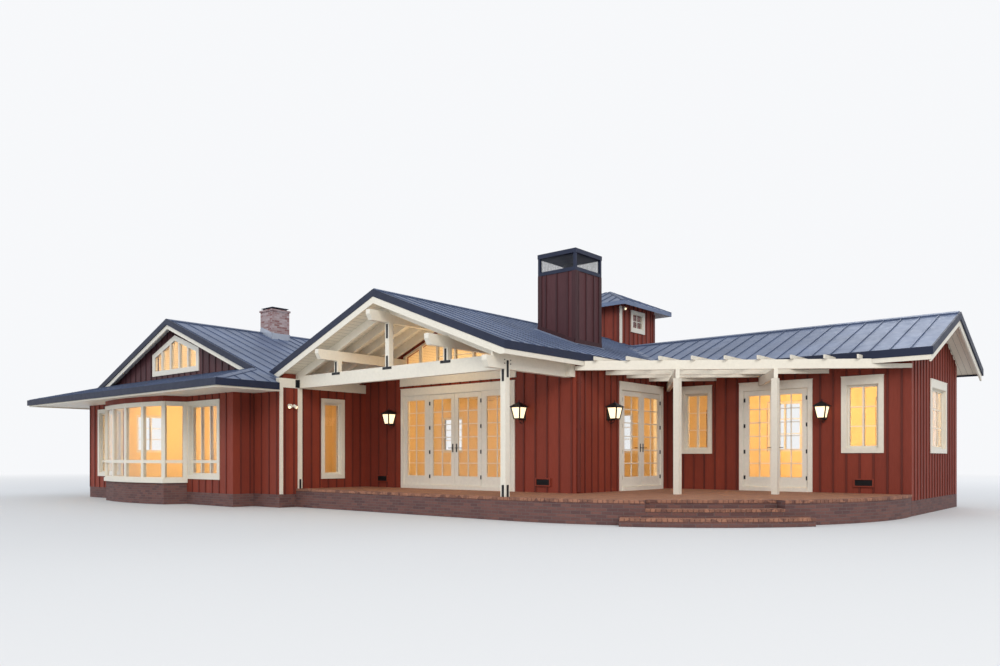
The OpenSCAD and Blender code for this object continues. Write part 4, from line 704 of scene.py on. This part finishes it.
# pale drip board under the low eaves: its front, left and right arm in plan
drip = {"low": 3.092, "high": 3.129, "front": ((-12.995, -8.725), (-0.935, -8.675)),
        "left": ((-12.995, -8.675), (-12.945, 3.425)), "right": ((-0.985, -8.675), (-0.935, -6.90))}
bm = bmesh.new()
for a, b in (drip["front"], drip["left"], drip["right"]):
    addBox(bm, (*a, drip["low"]), (*b, drip["high"]))
finishPiece("dripBoard", bm, "trim")
print("caps, flashing and corner boards done")


# lowest and highest corner of each pane of glass
def panes():
    bm = bmesh.new()
    bm.from_mesh(nodes["window_glass"].data)
    bmesh.ops.remove_doubles(bm, verts=bm.verts, dist=1e-4)
    todo, found = set(bm.verts), []
    while todo:
        waiting, spots = [todo.pop()], []
        while waiting:
            vert = waiting.pop()
            spots.append(vert.co.copy())
            near = {edge.other_vert(vert) for edge in vert.link_edges} & todo
            todo -= near
            waiting += near
        found.append([Vector(map(pick, zip(*spots))) for pick in (min, max)])
    bm.free()
    return found


# bars of the windows and of the fixed leaves beside the porch doors
barSet = {"width": 0.022, "depth": 0.030, "leafTall": 1.9, "leafWide": 0.5, "leafFront": -3.6,
          "windowTall": (1.0, 1.6), "plainX": (-11, -2), "towerZ": 5.6}


# rows and columns of a pane of glass, told by its size and place; at the left wing's front it stays whole
def paneGrid(low, high):
    wide, tall = high.x - low.x, high.z - low.z
    if tall > barSet["leafTall"] and wide > barSet["leafWide"] and low.y < barSet["leafFront"] and low.x > 0:
        return 6, 2
    plain = barSet["plainX"][0] < low.x < barSet["plainX"][1] and low.y < 0
    if barSet["windowTall"][0] < tall < barSet["windowTall"][1] and not plain:
        return 3, 1
    return (2, 2) if low.z > barSet["towerZ"] else (1, 1)


# a bar of the given width across the axis that it divides
def addPaneBar(bm, low, high, divided, thin, place):
    a, b = low.copy(), high.copy()
    middle = (low[thin] + high[thin]) / 2
    a[divided], b[divided] = place - barSet["width"] / 2, place + barSet["width"] / 2
    a[thin], b[thin] = middle - barSet["depth"] / 2, middle + barSet["depth"] / 2
    addBox(bm, a, b)


bars = bmesh.new()
for low, high in panes():
    axis = 0 if high.x - low.x > high.y - low.y else 1
    rows, columns = paneGrid(low, high)
    for i in range(1, rows):
        addPaneBar(bars, low, high, 2, 1 - axis, low.z + (high.z - low.z) * i / rows)
    for i in range(1, columns):
        addPaneBar(bars, low, high, axis, 1 - axis, low[axis] + (high[axis] - low[axis]) * i / columns)
finishPiece("windowBars", bars, "door_paint")
print("window bars done")

# black iron on the truss's face: a bar and bolts on each of three straps, and one on the king post
ironSet = {
    "face": -6.125, "plate": 0.010, "bolt": 0.013, "boltIn": 0.004, "boltOut": 0.012,
    "straps": (0.425, 2.405, 4.385), "barHalf": 0.16, "bar": (3.496, 3.556),
    "barBolts": ((-0.12, 3.526), (0.12, 3.526), (0, 3.62), (0, 3.77)),
    "kingHalf": 0.03, "king": (4.25, 4.60), "kingBolts": (4.31, 4.54)}
face, outFace = ironSet["face"], ironSet["face"] - ironSet["plate"]
bm = bmesh.new()


def addBolt(place, way):
    place, way = Vector(place), Vector(way)
    addRod(bm, place - way * ironSet["boltIn"], place + way * ironSet["boltOut"], ironSet["bolt"], 6)


for x in ironSet["straps"]:
    low, high = ironSet["bar"]
    addBox(bm, (x - ironSet["barHalf"], outFace, low), (x + ironSet["barHalf"], face, high))
    for aside, z in ironSet["barBolts"]:
        addBolt((x + aside, outFace, z), (0, -1, 0))
(low, high), half = ironSet["king"], ironSet["kingHalf"]
addBox(bm, (ridgeX - half, outFace, low), (ridgeX + half, face, high))
for z in ironSet["kingBolts"]:
    addBolt((ridgeX, outFace, z), (0, -1, 0))

# left post: an angle between its beam and the tie beam, and a foot plate at its side
angleIron = {"x": -1.215, "wide": 0.08, "deep": 0.085, "low": 3.25, "high": 3.46, "bolts": (3.30, 3.41)}
x, inner = angleIron["x"], angleIron["x"] + ironSet["plate"]
addBox(bm, (x, outFace, angleIron["low"]), (x + angleIron["wide"], face, angleIron["high"]))
addBox(bm, (x, face - angleIron["deep"], angleIron["low"]), (inner, outFace, angleIron["high"]))
for z in angleIron["bolts"]:
    addBolt((x + 0.05, outFace, z), (0, -1, 0))
    addBolt((inner, face - 0.055, z), (1, 0, 0))
# side plates: at the left post's foot, and at the right post's head and foot
sidePlates = {"y": (-6.085, -6.025),
              "places": ((-1.215, 0.497, 0.755), (6.165, 3.06, 3.42), (6.165, 0.497, 0.755))}
for x, low, high in sidePlates["places"]:
    addBox(bm, (x, sidePlates["y"][0], low), (x + ironSet["plate"], sidePlates["y"][1], high))
# right post: bolts of the beam beside its upper side plate, and of its front straps
postBolts = {"side": 6.165, "beamY": (-6.155, -5.955), "beamZ": (3.35, 3.43),
             "front": 6.095, "strapZ": (3.04, 3.18, 0.56, 0.69)}
for y in postBolts["beamY"]:
    for z in postBolts["beamZ"]:
        addBolt((postBolts["side"], y, z), (1, 0, 0))
for z in postBolts["strapZ"]:
    addBolt((postBolts["front"], face - 0.008, z), (0, -1, 0))
finishPiece("strapBolts", bm, "iron")

# lanterns: lit glass inside the iron frame, and a scroll of two hoops below it
lanternSet = {"out": 0.21, "foot": 0.079, "head": 0.130, "low": 2.305, "high": 2.570, "rod": 0.007}
hoops = (((0, -0.112, 2.285), 0.098, 1.0), ((0, -0.150, 2.235), 0.034, 1.6))  # middle, radius, half turns
lanternPlaces = [((0.035, -3.735), 0), ((4.7755, -3.735), 0), ((6.325, -2.3655), 90), ((10.566, 0.725), 0)]
glassParts, scrolls = bmesh.new(), bmesh.new()


def addHoop(bm, middle, radius, angle):
    place = Matrix.Translation(Vector(middle) + Vector((0, -radius, 0)))
    ring = bmesh.ops.create_circle(bm, segments=8, radius=lanternSet["rod"], matrix=place)["verts"]
    edges = list({e for v in ring for e in v.link_edges})
    steps = max(8, int(abs(angle) * 5))
    bmesh.ops.spin(bm, geom=ring + edges, cent=middle, axis=(1, 0, 0), angle=angle, steps=steps)


toCorner = math.sqrt(2)  # the cone's radius over half a side of its square
for (x, y), turn in lanternPlaces:
    place = Matrix.Translation((x, y, 0)) @ Matrix.Rotation(math.radians(turn), 4, "Z")
    glass = bmesh.new()
    middle = Vector((0, -lanternSet["out"], (lanternSet["low"] + lanternSet["high"]) / 2))
    bmesh.ops.create_cone(
        glass, cap_ends=True, segments=4, depth=lanternSet["high"] - lanternSet["low"],
        radius1=lanternSet["foot"] * toCorner, radius2=lanternSet["head"] * toCorner,
        matrix=Matrix.Translation(middle) @ Matrix.Rotation(math.pi / 4, 4, "Z"))
    scroll = bmesh.new()
    for centre, radius, halfTurns in hoops:
        addHoop(scroll, centre, radius, math.pi * halfTurns)
    bmesh.ops.holes_fill(scroll, edges=scroll.edges)
    turnOut(scroll)
    for target, part in ((glassParts, glass), (scrolls, scroll)):
        bmesh.ops.transform(part, matrix=place, verts=part.verts)
        joinInto(target, part)
finishPiece("lanternGlass", glassParts, "lamp")
finishPiece("lanternScrolls", scrolls, "iron")

# foundation vents, given by the middle of each one's back
ventSet = {
    "wide": 0.45, "tall": 0.20, "frame": 0.03, "thick": 0.044, "panel": 0.026,
    "slats": 5, "slat": (0.016, 0.006), "slatOut": 0.033, "slatUp": (0, -0.7, 1),
    "places": ((-0.45, -3.735, 0.745), (5.375, -3.735, 0.745), (11.465, 0.725, 0.745))}
frames, slats = bmesh.new(), bmesh.new()
w, t, f = ventSet["wide"] / 2, ventSet["tall"] / 2, ventSet["frame"]
for x, y, z in ventSet["places"]:
    for a, b in (((-w, -t), (w, f - t)), ((-w, t - f), (w, t)),
                 ((-w, f - t), (f - w, t - f)), ((w - f, f - t), (w, t - f))):
        addBox(frames, (x + a[0], y - ventSet["thick"], z + a[1]), (x + b[0], y, z + b[1]))
    left, right, foot, top = x - w + f, x + w - f, z - t + f, z + t - f
    addBox(slats, (left, y - ventSet["panel"], foot), (right, y, top))
    for i in range(ventSet["slats"]):
        level = foot + (top - foot) * (i + 0.5) / ventSet["slats"]
        ends = [(end, y - ventSet["slatOut"], level) for end in (left, right)]
        addBar(slats, *ends, *ventSet["slat"], ventSet["slatUp"])
finishPiece("ventFrames", frames, "siding")
finishPiece("ventSlats", slats, "iron")

# downspout with its clips, in the battens' colour darkened as painted shade
pipe = {"low": (6.327, -3.70, 0.52), "high": (6.395, -3.61, 3.40), "edge": 0.012,
        "clipLow": (6.325, -3.715), "clipHigh": (6.399, -3.595), "clip": 0.03, "clips": (0.9, 2.0, 3.1)}
bm = bmesh.new()
addBox(bm, pipe["low"], pipe["high"])
bmesh.ops.bevel(bm, geom=bm.edges[:], offset=pipe["edge"], segments=2, profile=0.5,
                affect="EDGES", material=-1)
for z in pipe["clips"]:
    addBox(bm, (*pipe["clipLow"], z), (*pipe["clipHigh"], z + pipe["clip"]))
finishPiece("downspout", bm, "batten")

# small floodlights: a twin on the left corner and a single one on the tower
floodSet = {"places": (((-1.235, -6.36, 2.74), (1, -1)), ((2.865, 4.08, 6.385), (1,))),
            "base": 0.055, "arm": 0.012, "head": 0.042, "lens": 0.036, "out": 0.07, "apart": 0.085}
heads, bulbs = bmesh.new(), bmesh.new()
out = Vector((1, 0, 0))
aside = out.cross(Vector((0, 0, 1)))
for spot, signs in floodSet["places"]:
    spot = Vector(spot)
    addRod(heads, spot - out * 0.01, spot + out * 0.03, floodSet["base"], 16)
    for sign in signs:
        start = spot + out * floodSet["out"] + aside * sign * floodSet["apart"]
        way = (out + aside * sign * 0.5 - Vector((0, 0, 0.7))).normalized()
        addRod(heads, spot + out * 0.02, start, floodSet["arm"])
        addRod(heads, start - way * 0.03, start + way * 0.075, floodSet["head"], 16)
        addRod(bulbs, start + way * 0.074, start + way * 0.084, floodSet["lens"], 16)
finishPiece("floodlights", heads, "trim")
finishPiece("floodlightGlass", bulbs, "lamp")
print("iron, lanterns, vents and floodlights done")

# bars of each door leaf's twelve panes. Its pin stands in front of its face by the knuckle's width
leafSet = {"stile": 0.125, "bottomRail": 0.25, "thick": 0.045, "bar": 0.024, "barDepth": (0.006, 0.039),
           "knuckle": 0.008, "pinReach": 0.009, "gap": 0.006, "rows": 6, "pane": (0.0164, 0.0286)}


def within(value, low, high, slack):
    return low - slack < value < high + slack


for joint in frame["joints"]:
    body, pin = joint["child"], Vector(joint["pos_m"])
    low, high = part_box(body)
    axis, outward = (1, 1) if body.startswith("side_door") else (0, -1)
    thin = 1 - axis
    face = pin[thin] - outward * leafSet["knuckle"]
    pinAtLow = abs(low[axis] - pin[axis]) < abs(high[axis] - pin[axis])
    way = 1 if pinAtLow else -1
    start = pin[axis] + way * leafSet["gap"]
    end = high[axis] if pinAtLow else low[axis]
    u0, u1 = sorted((start + way * leafSet["stile"], end - way * leafSet["stile"]))
    z0, z1 = low.z + leafSet["bottomRail"], high.z - leafSet["stile"]
    v0, v1 = (face - outward * depth for depth in leafSet["barDepth"])
    half = leafSet["bar"] / 2
    levels = [z0 + (z1 - z0) * i / leafSet["rows"] for i in range(1, leafSet["rows"])]
    middle = (u0 + u1) / 2
    spans = [(u0, u1, z - half, z + half) for z in levels] + [(middle - half, middle + half, z0, z1)]
    bm = bmesh.new()
    for left, right, foot, top in spans:
        a, b = [0, 0, foot], [0, 0, top]
        a[axis], b[axis], a[thin], b[thin] = left, right, v0, v1
        addBox(bm, a, b)
    finishPiece(body + "_bars", bm, "door_paint", body)
    # glass and iron are told from the paint by their place in the leaf's mesh
    mesh = nodes[body].data
    mesh.materials.append(materials["glass"])
    mesh.materials.append(materials["iron"])
    for polygon in mesh.polygons:
        spot = polygon.center
        depth = outward * (face - spot[thin])
        inPane = within(spot[axis], u0, u1, 0.001) and within(spot.z, z0, z1, 0.001)
        atGlass = within(depth, *leafSet["pane"], 0.001) and abs(polygon.normal[thin]) > 0.9
        atPin = all(abs(spot[k] - pin[k]) < leafSet["pinReach"] for k in (axis, thin))
        if inPane and atGlass:
            polygon.material_index = 1
        elif atPin or not within(depth, 0, leafSet["thick"], 0.0005):
            polygon.material_index = 2
print("door bars done")

# inner faces of the walls are plastered: those that look away from a wall's only boarded side, or
# away from the sides named here
plasterSides = {"left_wing_front_wall": ["-y"], "link_wall": ["-y"], "door_header_walls": ["-y", "+x"]}
for node in nodes:
    if "wall" in node and "lantern" not in node:
        outer = [row[1] for walls in outerFaces.values() for row in walls if row[0] == node]
        outer = plasterSides.get(node, outer if len(outer) == 1 else [])
        refinish(node, "plaster", lambda normal: any(normal.dot(sides[side]) < -0.9 for side in outer))

# brick headers along the terrace's edge, which is straight from the left post on and then an arc that
# steps back between its middle two angles, and along its steps
header = {"pitch": 0.102, "brick": 0.092, "long": 0.20, "tall": 0.062, "over": 0.014,
          "proud": 0.004, "edge": 0.005}
terraceSet = {"left": -1.235, "top": 0.495, "steps": (0.33, 0.165), "centre": (6.165, 0.175),
              "radius": 6.35, "notch": 6.05, "angles": (-90, -62, -37, 5)}
headers = bmesh.new()


def addHeader(edge, out, level):
    edge, out = Vector((*edge, 0)), Vector((*out, 0)).normalized()
    outer = edge + out * header["over"]
    inner = outer - out * header["long"]
    height = Vector((0, 0, level + header["proud"] - header["tall"] / 2))
    verts = addBar(headers, inner + height, outer + height, header["brick"], header["tall"])
    edges = list({e for v in verts for e in v.link_edges})
    bmesh.ops.bevel(headers, geom=edges, offset=header["edge"], segments=1, profile=0.5,
                    affect="EDGES", material=-1)


def addArcOfHeaders(radius, first, last, level):
    count = round(radius * abs(last - first) / header["pitch"])
    for i in range(count):
        angle = first + (last - first) * (i + 0.5) / count
        out = Vector((math.cos(angle), math.sin(angle)))
        addHeader(Vector(terraceSet["centre"]) + out * radius, out, level)


centreX, centreY = terraceSet["centre"]
frontLong = centreX - terraceSet["left"]
count = round(frontLong / header["pitch"])
for i in range(count):
    spot = (terraceSet["left"] + frontLong * (i + 0.5) / count, centreY - terraceSet["radius"])
    addHeader(spot, (0, -1), terraceSet["top"])
angles = [math.radians(angle) for angle in terraceSet["angles"]]
radii = (terraceSet["radius"], terraceSet["notch"], terraceSet["radius"])
for radius, first, last in zip(radii, angles, angles[1:]):
    addArcOfHeaders(radius, first, last, terraceSet["top"])
# the steps' arcs are read from their mesh
for level in terraceSet["steps"]:
    around = [v.co.xy - Vector(terraceSet["centre"]) for v in nodes["terrace_steps"].data.vertices
              if abs(v.co.z - level) < 0.002]
    radius = max(v.length for v in around)
    angles = [math.atan2(v.y, v.x) for v in around if v.length > radius - 0.02]
    addArcOfHeaders(radius, min(angles), max(angles), level)
finishPiece("brickHeaders", headers, "header_brick")
print("brick headers done")

# camera at the photograph's place
cameraSet = {"place": (17.065, -19.175, 1.32), "turn": 40.26, "lens": 28.69, "sensor": 36,
             "shiftY": 0.1255, "seesTo": 300}
optics = bpy.data.cameras.new("camera")
optics.lens = cameraSet["lens"]
optics.sensor_width = cameraSet["sensor"]
optics.shift_y = cameraSet["shiftY"]
optics.clip_end = cameraSet["seesTo"]
camera = bpy.data.objects.new("camera", optics)
camera.location = cameraSet["place"]
camera.rotation_euler = (math.pi / 2, 0, math.radians(cameraSet["turn"]))
scene = bpy.context.scene
scene.collection.objects.link(camera)
scene.camera = camera

# pale studio floor
stageSet = {"radius": 90, "level": -0.002, "floor": (0.66, 0.66, 0.65), "back": (0.93, 0.94, 0.96),
            "fadeFrom": 16, "fadeTo": 58, "sky": (0.86, 0.91, 1.0), "skyPower": 0.86}
floorMesh = bmesh.new()
bmesh.ops.create_circle(floorMesh, cap_ends=True, segments=96, radius=stageSet["radius"])
floorData = bpy.data.meshes.new("studioFloor")
floorMesh.to_mesh(floorData)
floorMesh.free()
floor = bpy.data.objects.new("studioFloor", floorData)
floor.location.z = stageSet["level"]
scene.collection.objects.link(floor)
floorPaint, tree, shader = newMaterial("studioPaint", 0.9)
shader.inputs["Base Color"].default_value = (*stageSet["floor"], 1)


# rays that show the floor and the backdrop themselves, and not only their light
def seenRays(tree):
    rays = addNode(tree, "LightPath")
    either = calc(tree, "MAXIMUM", rays.outputs["Is Camera Ray"], rays.outputs["Is Transmission Ray"])
    return calc(tree, "MAXIMUM", either, rays.outputs["Is Glossy Ray"])


def blendShaders(tree, factor, first, second, output):
    mixer = addNode(tree, "MixShader")
    for source, socket in zip((factor, first, second), mixer.inputs):
        tree.links.new(source, socket)
    tree.links.new(mixer.outputs[0], tree.nodes[output].inputs["Surface"])


# the floor fades into the backdrop far away from the house
backdrop = {"Color": (*stageSet["back"], 1), "Strength": 1.0}
distance = addNode(tree, "VectorMath", operation="LENGTH")
wire(tree, objectPlace(tree), distance, 0)
fade = addNode(tree, "MapRange", {"From Min": stageSet["fadeFrom"], "From Max": stageSet["fadeTo"]})
wire(tree, distance.outputs["Value"], fade, "Value")
faded = calc(tree, "MULTIPLY", fade.outputs[0], seenRays(tree))
glow = addNode(tree, "Emission", backdrop)
blendShaders(tree, faded, shader.outputs[0], glow.outputs[0], "Material Output")
floorData.materials.append(floorPaint)

# soft studio light: the world, and three large lamps
scene.view_settings.view_transform = "Standard"
world = bpy.data.worlds.new("studio")
world.use_nodes = True
scene.world = world
tree = world.node_tree
sky = tree.nodes["Background"]
sky.inputs["Color"].default_value = (*stageSet["sky"], 1)
sky.inputs["Strength"].default_value = stageSet["skyPower"]
seen = addNode(tree, "Background", backdrop)
blendShaders(tree, seenRays(tree), sky.outputs[0], seen.outputs[0], "World Output")

# each lamp: its place, what it shines at, its size, power and colour
areaLamps = {
    "keyLamp": ((36, -34, 24), (2, -2, 2), 19, 10600, (1, 0.96, 0.9)),
    "fillLamp": ((-32, -36, 20), (-2, 0, 2), 22, 3700, (0.86, 0.92, 1)),
    "backLamp": ((6, 44, 29), (0, 2, 2), 22, 4800, (0.92, 0.95, 1)),
}
# warm lamps in the rooms, behind the gable windows and under the porch roof
roomLamps = [((-9, -4.5, 2.4), 150), ((-5, -4.5, 2.4), 150), ((-7, -0.5, 2.4), 110),
             ((0.3, -1.2, 2.4), 150), ((4.5, -0.8, 2.4), 150), ((2.4, 4, 2.4), 110),
             ((8, 3.2, 2.4), 150), ((10.8, 3.2, 2.4), 150), ((-6.965, -5.2, 4.3), 60),
             ((2.4, -2.4, 4.2), 60), ((1.7, 4.9, 5.6), 20), ((2.4, -5.0, 3.75), 26)]
roomLampSet = {"size": 0.4, "color": (1, 0.72, 0.38)}


def addLamp(name, kind, place, power, color):
    data = bpy.data.lights.new(name, kind)
    data.energy = power
    data.color = color
    lamp = bpy.data.objects.new(name, data)
    lamp.location = place
    scene.collection.objects.link(lamp)
    return lamp


for name, (place, aim, size, power, color) in areaLamps.items():
    lamp = addLamp(name, "AREA", place, power, color)
    lamp.data.size = size
    lamp.rotation_euler = (Vector(aim) - Vector(place)).to_track_quat("-Z", "Y").to_euler()
for i, (place, power) in enumerate(roomLamps):
    lamp = addLamp("roomLamp" + str(i), "POINT", place, power, roomLampSet["color"])
    lamp.data.shadow_soft_size = roomLampSet["size"]
    lamp.visible_camera = lamp.visible_glossy = lamp.visible_transmission = False
print("camera, floor and lamps ready")
